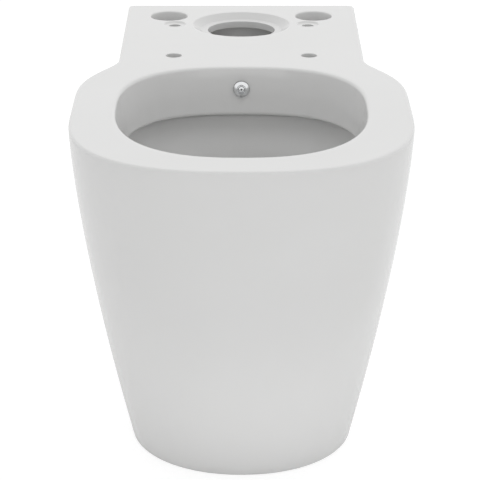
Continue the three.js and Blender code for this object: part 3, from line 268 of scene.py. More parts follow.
def oval_rings(levels, steps=OPENING_STEPS):
    """Rings from ovals and heights"""
    return [ring(oval_half(oval, steps), z) for oval, z in levels]


def circle(radius, z, middle=(0, 0), sides=64):
    return [(middle[0] + radius * cos(FULL_TURN * i / sides),
             middle[1] + radius * sin(FULL_TURN * i / sides), z) for i in range(sides)]


def rounded(points, radii, steps=4):
    """Open line of points whose corners are rounded by arcs, within a share of the sides beside them"""
    line = [points[0]]
    for i in range(1, len(points) - 1):
        corner = Vector(points[i])
        before, after = Vector(points[i - 1]) - corner, Vector(points[i + 1]) - corner
        turn = pi - before.angle(after)
        radius = radii[i] if isinstance(radii, (list, tuple)) else radii
        reach = min(radius * tan(turn / 2), before.length * CORNER_REACH, after.length * CORNER_REACH)
        if reach < SHORT or turn < SMALL:
            line.append(tuple(corner))
            continue
        before, after = before.normalized(), after.normalized()
        held = reach / tan(turn / 2)
        centre = corner + (before + after).normalized() * (held / cos(turn / 2))
        first, last = corner + before * reach - centre, corner + after * reach - centre
        for share in (0, *shares(steps)):
            spin = first * sin((1 - share) * turn) + last * sin(share * turn)
            line.append(tuple(centre + spin / sin(turn)))
    return line + [points[-1]]


def rounded_ring(outline, radii, steps=3):
    """Closed outline whose corners are all rounded"""
    return rounded([outline[-1], *outline, outline[0]], radii, steps)[1:-1]


def rectangle(left, low, right, high):
    return [(left, low), (right, low), (right, high), (left, high)]


# Meshes


def new_object(name, data):
    made = bpy.data.objects.new(name, data)
    bpy.context.scene.collection.objects.link(made)
    return made


class Shell:
    """A mesh that grows ring by ring"""

    def __init__(self):
        self.mesh = bmesh.new()

    def bridge(self, rings):
        for low, high in zip(rings, rings[1:]):
            for i in range(len(low)):
                k = (i + 1) % len(low)
                self.mesh.faces.new((low[i], low[k], high[k], high[i]))
        return rings

    def stack(self, rings):
        return self.bridge([[self.mesh.verts.new(point) for point in points] for points in rings])

    def fill(self, loops):
        """Flat plate between loops, the first outside"""
        verts = [vert for loop in loops for vert in loop]
        edges, start = [], 0
        for loop in loops:
            edges += [(start + i, start + (i + 1) % len(loop)) for i in range(len(loop))]
            start += len(loop)
        flat = [vert.co.xy for vert in verts]
        points, _, triangles, sources, _, _ = delaunay_2d_cdt(flat, edges, [], 0, TINY)
        for triangle in triangles:
            middle = sum((points[i] for i in triangle), Vector((0, 0))) / 3
            crossed = 0
            for a, b in edges:
                (ax, ay), (bx, by) = flat[a], flat[b]
                spans = (ay > middle.y) != (by > middle.y)
                if spans and middle.x < ax + (middle.y - ay) * (bx - ax) / (by - ay):
                    crossed += 1
            if crossed % 2:
                self.mesh.faces.new([verts[sources[i][0]] for i in triangle])

    def object(self):
        bmesh.ops.recalc_face_normals(self.mesh, faces=self.mesh.faces)
        made = new_object("part", bpy.data.meshes.new("part"))
        self.mesh.to_mesh(made.data)
        self.mesh.free()
        return made


def loft(rings):
    """Closed solid through rings"""
    shell = Shell()
    made = shell.stack(rings)
    shell.mesh.faces.new(made[0])
    shell.mesh.faces.new(made[-1])
    return shell.object()


def turned(outline, sides=64, thread=None):
    """Solid turned about Z from an outline of (radius, height) pairs

    The outline is closed, or it starts and ends on the axis. A thread is (radius, low, high, pitch, depth).
    """
    shell = Shell()
    on_axis = outline[0][0] < TINY
    if thread:
        outline = with_steps(outline, *thread[:4])
    rings = [circle(r, z, sides=sides) for r, z in (outline[1:-1] if on_axis else outline)]
    if thread:
        rings = [grooved(points, *thread) for points in rings]
    rings = shell.stack(rings)
    if on_axis:
        for tip, loop in ((outline[0], rings[0]), (outline[-1], rings[-1])):
            point = shell.mesh.verts.new((0, 0, tip[1]))
            for i in range(sides):
                shell.mesh.faces.new((point, loop[i], loop[(i + 1) % sides]))
    else:
        shell.bridge([rings[-1], rings[0]])
    return shell.object()


def with_steps(outline, radius, low, high, pitch):
    """The outline with points along its threaded run, six to a turn"""
    line = [outline[0]]
    for before, after in zip(outline, outline[1:]):
        if (before, after) == ((radius, low), (radius, high)):
            count = round((high - low) / pitch * 6)
            line += [(radius, blend(low, high, share)) for share in shares(count)[:-1]]
        line.append(after)
    return line


def grooved(points, radius, low, high, pitch, depth):
    """A ring of the threaded run with its groove pressed in, shallow at both ends"""
    z = points[0][2]
    if not low < z < high or abs(hypot(*points[0][:2]) - radius) > TINY:
        return points
    run = min(z - low, high - z, pitch) / pitch
    pressed = []
    for i, (x, y, _) in enumerate(points):
        turn = (z / pitch - i / len(points)) % 1
        share = 1 - depth * run / radius * (0.5 + 0.5 * cos(FULL_TURN * turn))
        pressed.append((x * share, y * share, z))
    return pressed


def rod(radius, start, end, sides=64):
    """Plain cylinder about Z"""
    return turned([(0, start), (radius, start), (radius, end), (0, end)], sides)


def prism(outline, low, high):
    return loft([[(x, y, z) for x, y in outline] for z in (low, high)])


def box(low, high):
    return prism(rectangle(*low[:2], *high[:2]), low[2], high[2])


def oval_prism(inset, low, high):
    """Upright solid on the opening's outline, moved in by an inset"""
    return loft(oval_rings([(opening(inset), z) for z in (low, high)]))


def skirt_filling(low, high):
    """Solid that fills the skirt between two heights and reaches a little into its walls"""
    return loft(pan_rings([(SKIRT_WALL - WALL_OVERLAP, REAR_WALL - WALL_OVERLAP, z) for z in (low, high)]))


def placed(obj, matrix):
    obj.data.transform(matrix)
    if matrix.determinant() < 0:
        obj.data.flip_normals()
    return obj


def applied(obj):
    """Makes an object's modifiers part of its mesh"""
    graph = bpy.context.evaluated_depsgraph_get()
    mesh = bpy.data.meshes.new_from_object(obj.evaluated_get(graph))
    obj.modifiers.clear()
    obj.data = mesh
    return obj


def combine(base, operation, *others):
    """Joins or cuts a solid with others"""
    for other in others:
        step = base.modifiers.new("step", "BOOLEAN")
        step.operation, step.object, step.solver = operation, other, "MANIFOLD"
    applied(base)
    for other in others:
        bpy.data.objects.remove(other)
    return base


def softened(obj, width):
    """Rounds every edge of a plain solid"""
    edit = bmesh.new()
    edit.from_mesh(obj.data)
    bmesh.ops.dissolve_limit(edit, angle_limit=radians(1), verts=edit.verts, edges=edit.edges)
    edit.to_mesh(obj.data)
    edit.free()
    step = obj.modifiers.new("edge", "BEVEL")
    step.width, step.segments = width, 2
    step.limit_method, step.angle_limit = "ANGLE", radians(40)
    return applied(obj)


def finished(obj, name, body, slot, nodes, material=None):
    """Scales a piece to metres, smooths it and hands it to its body"""
    obj.name = obj.data.name = name
    obj.data.transform(Matrix.Scale(MM, 4))
    obj.data.shade_smooth()
    obj.data.set_sharp_from_angle(angle=radians(SHARP_ANGLE))
    obj.data.materials.clear()
    obj.data.materials.append(materials[material or slot])
    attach(obj, body)
    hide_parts(*nodes)


# Materials
materials = {}


def add_node(tree, kind, inputs=None, **settings):
    """New node with its settings, and its inputs given as values or as outputs of other nodes"""
    node = tree.nodes.new(kind)
    for key, value in settings.items():
        setattr(node, key, value)
    for key, value in (inputs or {}).items():
        if isinstance(value, bpy.types.NodeSocket):
            tree.links.new(value, node.inputs[key])
        else:
            node.inputs[key].default_value = value
    return node


def worked(tree, kind, operation, *values, output=0):
    """Output of a node that calculates with its inputs"""
    return add_node(tree, kind, dict(enumerate(values)), operation=operation).outputs[output]


def new_material(name, colour, roughness, metallic=0.0, ior=1.5):
    made = materials[name] = bpy.data.materials.new(name)
    made.use_nodes = True
    shader = made.node_tree.nodes["Principled BSDF"]
    shader.inputs["Base Color"].default_value = (*colour, 1)
    shader.inputs["Roughness"].default_value = roughness
    shader.inputs["Metallic"].default_value = metallic
    shader.inputs["IOR"].default_value = ior
    return made


def drive(material, key, source):
    """Links an input of the material's shader to a source"""
    tree = material.node_tree
    tree.links.new(source, tree.nodes["Principled BSDF"].inputs[key])


def noise(material, scale, detail, stretch=(1, 1, 1)):
    """Noise in the piece's own space"""
    tree = material.node_tree
    place = add_node(tree, "ShaderNodeTexCoord").outputs["Object"]
    mapping = add_node(tree, "ShaderNodeMapping", {"Vector": place, "Scale": stretch})
    inputs = {"Vector": mapping.outputs["Vector"], "Scale": scale, "Detail": detail}
    return add_node(tree, "ShaderNodeTexNoise", inputs).outputs["Fac"]


def mapped(tree, source, low, high, from_low=0.3, from_high=0.7):
    inputs = {"Value": source, "From Min": from_low, "From Max": from_high, "To Min": low, "To Max": high}
    return add_node(tree, "ShaderNodeMapRange", inputs).outputs["Result"]


def varied(material, source, dark, light):
    """Base colour that wanders between two near tones"""
    ramp = add_node(material.node_tree, "ShaderNodeValToRGB", {"Fac": source})
    for element, position, tone in zip(ramp.color_ramp.elements, (0.3, 0.7), (dark, light)):
        element.position, element.color = position, (*tone, 1)
    drive(material, "Base Color", ramp.outputs["Color"])
    return ramp.outputs["Color"]


def rough(material, source, low, high):
    drive(material, "Roughness", mapped(material.node_tree, source, low, high))


def bump(material, *layers):
    """Bumps from (source, strength, height in metres) layers"""
    below = {}
    for source, strength, height in layers:
        inputs = {"Height": source, "Strength": strength, "Distance": height, **below}
        below = {"Normal": add_node(material.node_tree, "ShaderNodeBump", inputs).outputs["Normal"]}
    drive(material, "Normal", below["Normal"])


def painted_seat_shade(material, colour, share):
    """Painted shade: darkens the flush inlet's seat, a shallow recess, to a share of the glaze's colour"""
    tree = material.node_tree
    place = add_node(tree, "ShaderNodeTexCoord").outputs["Object"]
    flat = worked(tree, "ShaderNodeVectorMath", "MULTIPLY", place, (1, 1, 0))
    reach = worked(tree, "ShaderNodeVectorMath", "DISTANCE", flat, (0, INLET_Y * MM, 0), output="Value")
    off = worked(tree, "ShaderNodeMath", "SUBTRACT", reach, (SEAT_RADIUS + INLET_RADIUS) / 2 * MM)
    half = (SEAT_RADIUS - INLET_RADIUS) / 2 * MM
    inside = mapped(tree, worked(tree, "ShaderNodeMath", "ABSOLUTE", off), 1, 0, half * 0.9, half)
    painted_shade = add_node(tree, "ShaderNodeMix", {"Factor": inside, "A": colour, "B": (share, share, share, 1)},
                    data_type="RGBA", blend_type="MULTIPLY")
    drive(material, "Base Color", painted_shade.outputs["Result"])


def surface(name, colour, roughness, metallic, tones, grain, relief):
    """Material whose colour, roughness and relief follow a noise each

    Tones are (noise, dark, light), grain is (noise, smooth, rough) and relief is (noise, strength, height).
    """
    made = new_material(name, colour, roughness, metallic)
    varied(made, noise(made, *tones[0]), *tones[1:])
    rough(made, noise(made, *grain[0]), *grain[1:])
    bump(made, (noise(made, *relief[0]), *relief[1:]))


def glaze(name, dark, light, seat_shade_share=1):
    made = new_material(name, light, 0.1, ior=1.52)
    slow, fine = noise(made, 7, 2), noise(made, 420, 3)
    colour = varied(made, slow, dark, light)
    # Painted shade in the flush inlet's seat
    if seat_shade_share < 1:
        painted_seat_shade(made, colour, seat_shade_share)
    rough(made, noise(made, 60, 4), 0.085, 0.13)
    bump(made, (slow, 0.35, 0.0009), (fine, 0.08, 0.00012))


# Glaze of the pan, with painted shade in the flush inlet's seat
def ware_glaze():
    glaze("glaze", (0.772, 0.772, 0.766), (0.786, 0.786, 0.782), SEAT_SHADE)


# Painted shade: a darker copy of the glaze, for the inside of the bowl, the trapway and the flush duct
def shaded_basin_glaze():
    glaze("shaded_basin_glaze", (0.738, 0.738, 0.732), (0.752, 0.752, 0.748))


def chrome():
    surface("chrome", (0.78, 0.79, 0.8), 0.07, 1, tones=((300, 2), (0.76, 0.77, 0.78), (0.8, 0.81, 0.82)),
            grain=((700, 4), 0.05, 0.1), relief=((900, 2), 0.04, 0.00005))


def brass():
    surface("brass", (0.56, 0.38, 0.12), 0.3, 1, tones=((140, 5), (0.46, 0.3, 0.1), (0.6, 0.42, 0.16)),
            grain=((500, 6), 0.24, 0.4), relief=((900, 3, (1, 1, 8)), 0.12, 0.0001))


def copper():
    surface("copper", (0.6, 0.27, 0.15), 0.3, 1, tones=((60, 6), (0.46, 0.2, 0.11), (0.66, 0.31, 0.18)),
            grain=((260, 6), 0.22, 0.42), relief=((700, 4), 0.1, 0.0001))


def steel():
    surface("steel", (0.48, 0.49, 0.5), 0.3, 1,
            tones=((400, 4, (6, 1, 1)), (0.42, 0.43, 0.44), (0.54, 0.55, 0.56)),
            grain=((900, 4, (8, 1, 1)), 0.2, 0.4), relief=((900, 3, (8, 1, 1)), 0.1, 0.00006))


def rubber():
    surface("rubber", (0.02, 0.021, 0.023), 0.75, 0,
            tones=((500, 5), (0.016, 0.017, 0.018), (0.03, 0.031, 0.033)),
            grain=((900, 5), 0.65, 0.85), relief=((1500, 4), 0.3, 0.0001))


def nylon():
    surface("nylon", (0.76, 0.76, 0.73), 0.5, 0, tones=((40, 4), (0.73, 0.73, 0.7), (0.78, 0.78, 0.755)),
            grain=((700, 5), 0.42, 0.6), relief=((1100, 4), 0.2, 0.0001))


def cap_plastic():
    surface("cap_plastic", (0.77, 0.77, 0.765), 0.2, 0,
            tones=((50, 3), (0.76, 0.76, 0.755), (0.785, 0.785, 0.78)),
            grain=((600, 4), 0.16, 0.26), relief=((800, 3), 0.06, 0.00006))


# Glazed ware
NOZZLE = (Matrix.Translation((0, OPENING_BACK_Y - lip_inset(NOZZLE_Z), NOZZLE_Z))
          @ Matrix.Rotation(RIGHT_ANGLE - LEAN, 4, "X"))


def outside_levels():
    """Side inset, rear inset and height of the outside's rings, from the foot up"""
    top = HEIGHT - EDGE_RADIUS
    levels = [(inset, inset, z) for inset, z in edge_rounding(FOOT_ROUND, FOOT_STEPS)]
    levels += [(0, 0, blend(FOOT_ROUND, top, share)) for share in shares(OUTER_LEVELS)]
    for angle in arc_steps(EDGE_STEPS)[1:]:
        inset = EDGE_RADIUS * (1 - cos(angle))
        levels.append((inset, inset, top + EDGE_RADIUS * sin(angle)))
    return levels + [(EDGE_RADIUS + GUARD, EDGE_RADIUS + GUARD, HEIGHT)]


def inside_levels():
    """The same for the skirt's inside, from the foot up to the deck"""
    levels = [(SKIRT_WALL - out, REAR_WALL - out, z) for out, z in edge_rounding(FOOT_ROUND, FOOT_STEPS)]
    heights = [blend(FOOT_ROUND, UNDERSIDE, share) for share in shares(INNER_LEVELS)]
    return levels + [(SKIRT_WALL, REAR_WALL, z) for z in heights]


def lip_levels():
    """Oval and height of the opening's rings, over its edge, down the lip, round its foot and up behind it"""
    end = lip_inset(LIP_END)
    corners = [(-GUARD, HEIGHT), (lip_inset(HEIGHT), HEIGHT), (end, LIP_END), (end - LIP_WALL, LIP_END),
               (lip_inset(UNDERSIDE) - LIP_WALL, UNDERSIDE)]
    line = rounded(corners, [0, MOUTH_ROUND, LIP_FOOT_ROUND, LIP_FOOT_ROUND, 0], 8)
    return [(opening(inset), z) for inset, z in line]


def hole_wall(line, rounds, guard=HOLE_GUARD, steps=4):
    """Wall of a hole through the deck, from a flat guard on top to the underside"""
    wall = rounded([(line[0][0] + HOLE_RUN, HEIGHT), *line], [0, *rounds, 0], steps)
    wall[0] = (wall[1][0] + guard, HEIGHT)
    return wall


def deck_holes():
    """Middle, wall and number of sides of each hole through the deck"""
    seat_z, recess_z = HEIGHT - SEAT_DEPTH, HEIGHT - RECESS_DEPTH
    seat = [(SEAT_RADIUS, HEIGHT), (SEAT_FLOOR_RADIUS, seat_z), (INLET_RADIUS, seat_z),
            (INLET_RADIUS, UNDERSIDE)]
    fill = [(FILL_RADIUS, HEIGHT), (FILL_RADIUS - FILL_TAPER, UNDERSIDE)]
    bolt = [(RECESS_RADIUS, HEIGHT), (RECESS_RADIUS - RECESS_TAPER, blend(HEIGHT, recess_z, RECESS_SHARE)),
            (BOLT_RADIUS, recess_z), (BOLT_RADIUS, UNDERSIDE)]
    hinge = [(HINGE_RADIUS, HEIGHT), (HINGE_RADIUS, UNDERSIDE)]
    holes = [((0, INLET_Y), hole_wall(seat, SEAT_ROUNDS, GUARD, 5), 96)]
    for side in (-1, 1):
        holes.append(((side * FILL_X, FILL_Y), hole_wall(fill, FILL_ROUNDS), 64))
        holes.append(((side * BOLT_X, BOLT_Y), hole_wall(bolt, BOLT_ROUNDS), 48))
        holes.append(((side * HINGE_X, HINGE_Y), hole_wall(hinge, HINGE_ROUNDS), 48))
    return holes


def pipe_opening():
    """Cutter of the rear wall's opening for the pipes, wider at its rounded edges"""
    edge, front_y = edge_rounding(FOOT_ROUND, ARCH_STEPS), REAR_Y - REAR_WALL
    widths = [(REAR_Y + CLEAR, FOOT_ROUND), *[(REAR_Y - depth, out) for out, depth in edge]]
    widths += [*[(front_y + depth, out) for out, depth in reversed(edge)], (front_y - CLEAR, FOOT_ROUND)]
    rings = []
    for y, out in widths:
        half, turn = ARCH_HALF_WIDTH + out, ARCH_ROUND + out
        outline = rectangle(-half, -CLEAR, half, ARCH_HEIGHT + out)
        rings.append([(x, y, z) for x, z in rounded_ring(outline, [0, 0, 0, turn, turn, 0], 12)])
    return loft(rings)


def fixing_frame(side):
    """Frame on the skirt's outside whose +Z looks out of the wall"""
    x = blend(FOOT_WIDTH, REAR_WIDTH, FIXING_HEIGHT / HEIGHT) / 2
    place = Matrix.Translation((side * x, FIXING_Y, FIXING_HEIGHT))
    return place @ Matrix.Rotation(side * (RIGHT_ANGLE + SIDE_LEAN), 4, "Y")


def fixing_hole(side):
    """Cutter of a fixing's hole through the skirt"""
    narrow, wide = FIXING_HOLE_RADIUS, FIXING_HOLE_RADIUS + FIXING_HOLE_STEP
    corners = [(wide, HOLE_CLEAR), (wide, 0), (narrow, 0), (narrow, -SKIRT_WALL), (wide, -SKIRT_WALL),
               (wide, -SKIRT_WALL - HOLE_CLEAR)]
    bore = rounded(corners, [0, 0, FIXING_HOLE_ROUND, FIXING_HOLE_ROUND, 0, 0], 3)
    return placed(turned([(0, HOLE_CLEAR), *bore, (0, -SKIRT_WALL - HOLE_CLEAR)], 48), fixing_frame(side))


def glazed_pan():
    """Deck, rim, hanging lip and skirt in one skin"""
    shell = Shell()
    outer = shell.stack(pan_rings(outside_levels()))
    inner = shell.stack(pan_rings(inside_levels()))
    shell.bridge([outer[0], inner[0]])
    mouth = shell.stack(oval_rings(lip_levels()))
    tops, bottoms = [outer[-1], mouth[0]], [inner[-1], mouth[-1]]
    for middle, profile, sides in deck_holes():
        wall = shell.stack([circle(r, z, middle, sides) for r, z in profile])
        tops.append(wall[0])
        bottoms.append(wall[-1])
    shell.fill(tops)
    shell.fill(bottoms)
    nozzle_hole = placed(rod(NOZZLE_HOLE_RADIUS, HOLE_CLEAR, -LIP_HOLE_DEPTH), NOZZLE)
    return combine(shell.object(), "DIFFERENCE", pipe_opening(), fixing_hole(-1), fixing_hole(1), nozzle_hole)


def rounded_path(points, radius, step):
    """Points about one step apart along corners rounded by arcs"""
    line = rounded([tuple(p) for p in points], radius, 12)
    path = [Vector(line[0])]
    for point in line[1:]:
        run = Vector(point) - path[-1]
        count = max(1, round(run.length / step)) if run.length > SMALL else 0
        path += [path[-1] + run * share for share in shares(count)]
    return path


def tube_rings(path, radius, sides=64):
    """Rings round a path"""
    rings, side = [], Vector((1, 0, 0))
    for i, point in enumerate(path):
        along = (path[min(i + 1, len(path) - 1)] - path[max(i - 1, 0)]).normalized()
        side = (side - along * side.dot(along)).normalized()
        up = along.cross(side)
        turns = [FULL_TURN * k / sides for k in range(sides)]
        rings.append([tuple(point + (side * cos(a) + up * sin(a)) * radius) for a in turns])
    return rings


def trapway():
    """Outside and bore of the trapway"""
    heights = (TRAP_START, TRAP_CREST, TRAP_CREST, OUTLET_HEIGHT)
    corners = [(0, TRAP_START_Y, TRAP_START)]
    corners += [(0, blend(TRAP_JOIN_Y, TRAP_END_Y, t), z) for t, z in zip(TRAP_CORNER_SHARES, heights)]
    path = rounded_path([*corners, (0, TRAP_END_Y, OUTLET_HEIGHT)], TRAP_BEND, TRAP_STEP)
    longer = [path[0] - Vector((0, BORE_RUN_IN, 0)), *path, path[-1] + Vector((0, BORE_RUN_OUT, 0))]
    return loft(tube_rings(path, TRAP_OUTER_RADIUS)), loft(tube_rings(longer, TRAP_BORE_RADIUS))


def spigot():
    corners = [(0, -SPIGOT_LENGTH), (SPIGOT_RADIUS, -SPIGOT_LENGTH), (SPIGOT_RADIUS, 0), (0, 0)]
    to_rear = Matrix.Translation((0, TRAP_END_Y, OUTLET_HEIGHT)) @ Matrix.Rotation(-RIGHT_ANGLE, 4, "X")
    return placed(turned(rounded(corners, [0, SPIGOT_ROUND, SPIGOT_ROUND, 0])), to_rear)


def glazed_bowl():
    """Basin, ledge and trapway"""
    heights = [LEDGE_TOP, *[blend(LEDGE_TOP, SUMP_TOP, share) for share in shares(BASIN_LEVELS)]]
    heights += [blend(SUMP_TOP, SUMP_FLOOR + SUMP_ROUND, share) for share in shares(SUMP_LEVELS)]
    heights += [SUMP_FLOOR + SUMP_ROUND * (1 - sin(a)) for a in arc_steps(SUMP_ROUND_LEVELS)[1:]]
    curb_heights = [blend(CURB_TOP, LEDGE_TOP, share) for share in (0, *shares(CURB_LEVELS)[:-1])]
    levels = [(curb(z), z) for z in (CURB_TOP + HOLE_CLEAR, *curb_heights)]
    levels += [(basin(z, setback(z)), z) for z in heights]
    half, front, back, middle, *powers = basin(SUMP_FLOOR)
    for share in SUMP_FLOOR_SHARES:
        oval = (half * share, blend(middle, front, share), blend(middle, back, share), middle, *powers)
        levels.append((oval, SUMP_FLOOR))
    cavity = loft(oval_rings(levels, BOWL_STEPS))

    drops = [BOWL_WALL * smooth(clamp((SUMP_TOP - z) / (SUMP_TOP - SUMP_FLOOR))) for z in heights]
    body = loft(oval_rings([(basin(z, BOWL_WALL), z - drop) for z, drop in zip(heights, drops)], BOWL_STEPS))
    rim_heights = (LEDGE_TOP - CURB_SINK, *reversed(curb_heights))
    rim = loft(oval_rings([(curb(z, CURB_WALL), z) for z in rim_heights], BOWL_STEPS))
    ledge = skirt_filling(LEDGE_TOP - LEDGE_THICKNESS, LEDGE_TOP)
    ledge = combine(ledge, "INTERSECT", oval_prism(CHANNEL_OUTSIDE, 0, HEIGHT))
    tube, bore = trapway()
    bowl = combine(body, "UNION", ledge, rim, tube, spigot())
    return combine(bowl, "DIFFERENCE", cavity, bore)


def chamber(wall, low, high):
    """Rounded box of the duct under the flush inlet, moved in by a wall"""
    half_length = CHAMBER_HALF_LENGTH - wall
    outline = rectangle(wall - CHAMBER_HALF_WIDTH, INLET_Y - half_length, CHAMBER_HALF_WIDTH - wall,
                        INLET_Y + half_length)
    return prism(rounded_ring(outline, CHAMBER_ROUND - wall, 10), low, high)


def branch(side, wall, front, back, heights):
    """Box of one of the duct's two arms, moved in by a wall at its sides"""
    near, far = sorted((side * (DRY_WELL + wall), side * (CHAMBER_HALF_WIDTH - wall)))
    return box((near, front, heights[0]), (far, back, heights[1]))


def channel_wall(top):
    """Back wall of the rim channel, between the ledge and the deck"""
    wall = oval_prism(CHANNEL_OUTSIDE, LEDGE_TOP, top)
    wall = combine(wall, "DIFFERENCE", oval_prism(CHANNEL_BACK_INSET, LEDGE_TOP - CLEAR, top + CLEAR))
    rear = box((-WIDTH, DUCT_FRONT_Y - CHANNEL_WALL_REACH, 0), (WIDTH, REAR_Y, ABOVE_ALL))
    return combine(wall, "INTERSECT", rear, skirt_filling(LEDGE_TOP - CHANNEL_WALL_SINK, HEIGHT))


def nozzle_boss():
    boss = placed(rod(BOSS_RADIUS, -BOSS_START, -PAD_DEPTH - BOSS_EXTRA), NOZZLE)
    return combine(boss, "INTERSECT", box((-WIDTH, 0, 0), (WIDTH, DUCT_FRONT_Y, HEIGHT - EDGE_RADIUS)))


def glazed_duct():
    """Flush duct, the rim channel's back wall and the nozzle's boss"""
    low, top = DUCT_FLOOR - DUCT_WALL, UNDERSIDE + CLEAR
    sides, inner = (-1, 1), (DUCT_FLOOR, top + CLEAR)
    arms = [branch(side, 0, CHANNEL_BACK_Y, INLET_Y, (low, top)) for side in sides]
    hollows = [branch(side, DUCT_WALL, CHANNEL_BACK_Y - CLEAR, INLET_Y, inner) for side in sides]
    duct = combine(chamber(0, low, top), "UNION", *arms)
    duct = combine(duct, "DIFFERENCE", chamber(DUCT_WALL, *inner), *hollows)
    duct = combine(duct, "DIFFERENCE", oval_prism(CHANNEL_OUTSIDE + DUCT_OVERLAP, 0, ABOVE_ALL))
    duct = combine(duct, "UNION", channel_wall(top), nozzle_boss())
    mouth = (LEDGE_TOP + BRANCH_MARGIN, UNDERSIDE - BRANCH_MARGIN)
    front, back = CHANNEL_BACK_Y - BRANCH_RUN, DUCT_FRONT_Y + CLEAR
    cuts = [branch(side, DUCT_WALL, front, back, mouth) for side in sides]
    cuts += [placed(rod(NOZZLE_HOLE_RADIUS, HOLE_CLEAR, -DUCT_HOLE_DEPTH), NOZZLE),
             placed(rod(PAD_RADIUS, -PAD_DEPTH, -PAD_DEPTH - PAD_ROOM), NOZZLE)]
    return combine(duct, "DIFFERENCE", *cuts)


# Nozzle: a dome on a shank, and a ball held in the dome by a retainer
BALL_RADIUS, BALL_CLEARANCE, BALL_BORE = 4.2, 0.25, 0.9
ORIFICE_RADIUS, ORIFICE_DEPTH, ORIFICE_TAPER = 1.7, 1.4, 0.1
MOUTH_RADIUS, MOUTH_IN_CAD = 3.9, 3.6
RETAINER_RADIUS, RETAINER_PROUD, RETAINER_ROUND = 4.85, 0.5, 0.5
WELL_RADIUS, WELL_EDGE = RETAINER_RADIUS + 0.45, 0.15
DOME_RADIUS, DOME_HEIGHT, DOME_EDGE, DOME_ROUND = 9, 4.7, 0.6, 0.4
DOME_BULGE, DOME_STEPS, DOME_CHAMFER = 0.42, 16, 0.2
BALL_SEAT = BALL_RADIUS + BALL_CLEARANCE
BALL_CENTRE = DOME_HEIGHT + RETAINER_PROUD - sqrt(BALL_SEAT ** 2 - MOUTH_IN_CAD ** 2)
SOCKET_SEAT = 0.76 * BALL_RADIUS
SOCKET_FLOOR = BALL_CENTRE - sqrt(BALL_SEAT ** 2 - SOCKET_SEAT ** 2)
SHANK_BORE, SHANK_END = 2.2, -PAD_DEPTH - 21
SHANK_CHAMFER, THREAD_TOP, SHANK_THREAD = 0.5, -4, (1.5, 0.55)
FINE_SIDES = 96

# Fittings on the nozzle's shank, each below the one before it
FRONT_GASKET, GASKET_LIP, REAR_GASKET, REAR_WASHER, REAR_RADIUS = 1, 0.25, 2, 1.5, 12
WASHER_ROUND = 0.3
LOCKNUT_ACROSS, LOCKNUT_LENGTH = 20, 6
TUBE_RADIUS, TUBE_BORE, TUBE_SOCKET, TUBE_BEND, TUBE_DROP, TUBE_STEP = 5, 4, 9, 26, 26, 2.5
ON_SHANK, ON_TUBE = SHANK_RADIUS + GAP, TUBE_RADIUS + GAP
OLIVE_LENGTH, OLIVE_THICKNESS, OLIVE_EDGE, OLIVE_CREST = 4, 1, 0.5, 0.4
TUBE_NUT_ACROSS, NUT_END, NUT_GRIP = 18, 4, 6
NUT_CHAMFER, BORE_CHAMFER, SMALL_CHAMFER = 0.3, 0.5, 0.4
GASKET_TOP = -PAD_DEPTH - GAP
WASHER_TOP = GASKET_TOP - REAR_GASKET - GAP
LOCKNUT_TOP = WASHER_TOP - REAR_WASHER - GAP
OLIVE_TOP = SHANK_END - GAP
NUT_SHOULDER = OLIVE_TOP - OLIVE_LENGTH - GAP

# Inlet at the rear, where the feed tube ends
TUBE_LEVEL = 291.98
INLET_X, INLET_Z = 74, 238
UNION_END, UNION_LENGTH, UNION_SHOULDER, UNION_BORE, UNION_ACROSS = REAR_Y - 6, 20, 3, 10, 24
GROOVE_PITCH, GROOVE, GROOVE_DEPTH = 1.35, 1.3, 0.6
GROOVE_START, GROOVE_END, UNION_MOUTH = 7, 1.5, 0.8
FLANGE, FLANGE_ROUND, FLANGE_FILLET, NECK_RADIUS, NECK_LENGTH, NECK_ROUND = 3, 0.4, 1, 6.6, 18, 0.3
INLET_WASHER = 2.5
UNION_FOOT = UNION_END - UNION_LENGTH
FLANGE_FOOT = UNION_FOOT + UNION_SHOULDER + GAP
NECK_FOOT = FLANGE_FOOT - NECK_LENGTH
INLET = Matrix.Translation((INLET_X, 0, INLET_Z)) @ Matrix.Rotation(-RIGHT_ANGLE, 4, "X")


def arc_points(middle, radius, start, end, steps):
    """Points (radius, height) on an arc about a point of the axis, by angles from the radial direction"""
    turns = [blend(start, end, share) for share in (0, *shares(steps))]
    return [(radius * cos(a), middle + radius * sin(a)) for a in turns]


def nozzle_body():
    back, socket = FRONT_GASKET + 2 * GAP, SHANK_END + TUBE_SOCKET
    dome = quarter(DOME_RADIUS - DOME_ROUND, back + DOME_EDGE, DOME_ROUND, 4)[:-1]
    for share in (0, *shares(DOME_STEPS)):
        radius = blend(DOME_RADIUS - DOME_ROUND, WELL_RADIUS + WELL_EDGE, share)
        height = blend(back + DOME_EDGE + DOME_ROUND, DOME_HEIGHT, share)
        dome.append((radius, height + DOME_BULGE * sin(pi * share)))
    outline = [(SHANK_BORE, socket), (ON_TUBE, socket), (ON_TUBE, SHANK_END + NUT_CHAMFER),
               (ON_TUBE + NUT_CHAMFER, SHANK_END), (SHANK_RADIUS - SHANK_CHAMFER, SHANK_END),
               (SHANK_RADIUS, SHANK_END + SHANK_CHAMFER), (SHANK_RADIUS, THREAD_TOP), (SHANK_RADIUS, back),
               (DOME_RADIUS - DOME_CHAMFER, back), (DOME_RADIUS, back + DOME_CHAMFER), *dome,
               (WELL_RADIUS, DOME_HEIGHT - WELL_EDGE), (WELL_RADIUS, SOCKET_FLOOR),
               (SOCKET_SEAT, SOCKET_FLOOR), (SHANK_BORE, SOCKET_FLOOR - (SOCKET_SEAT - SHANK_BORE))]
    thread = (SHANK_RADIUS, SHANK_END + SHANK_CHAMFER, THREAD_TOP, *SHANK_THREAD)
    return placed(turned(outline, FINE_SIDES, thread), NOZZLE)


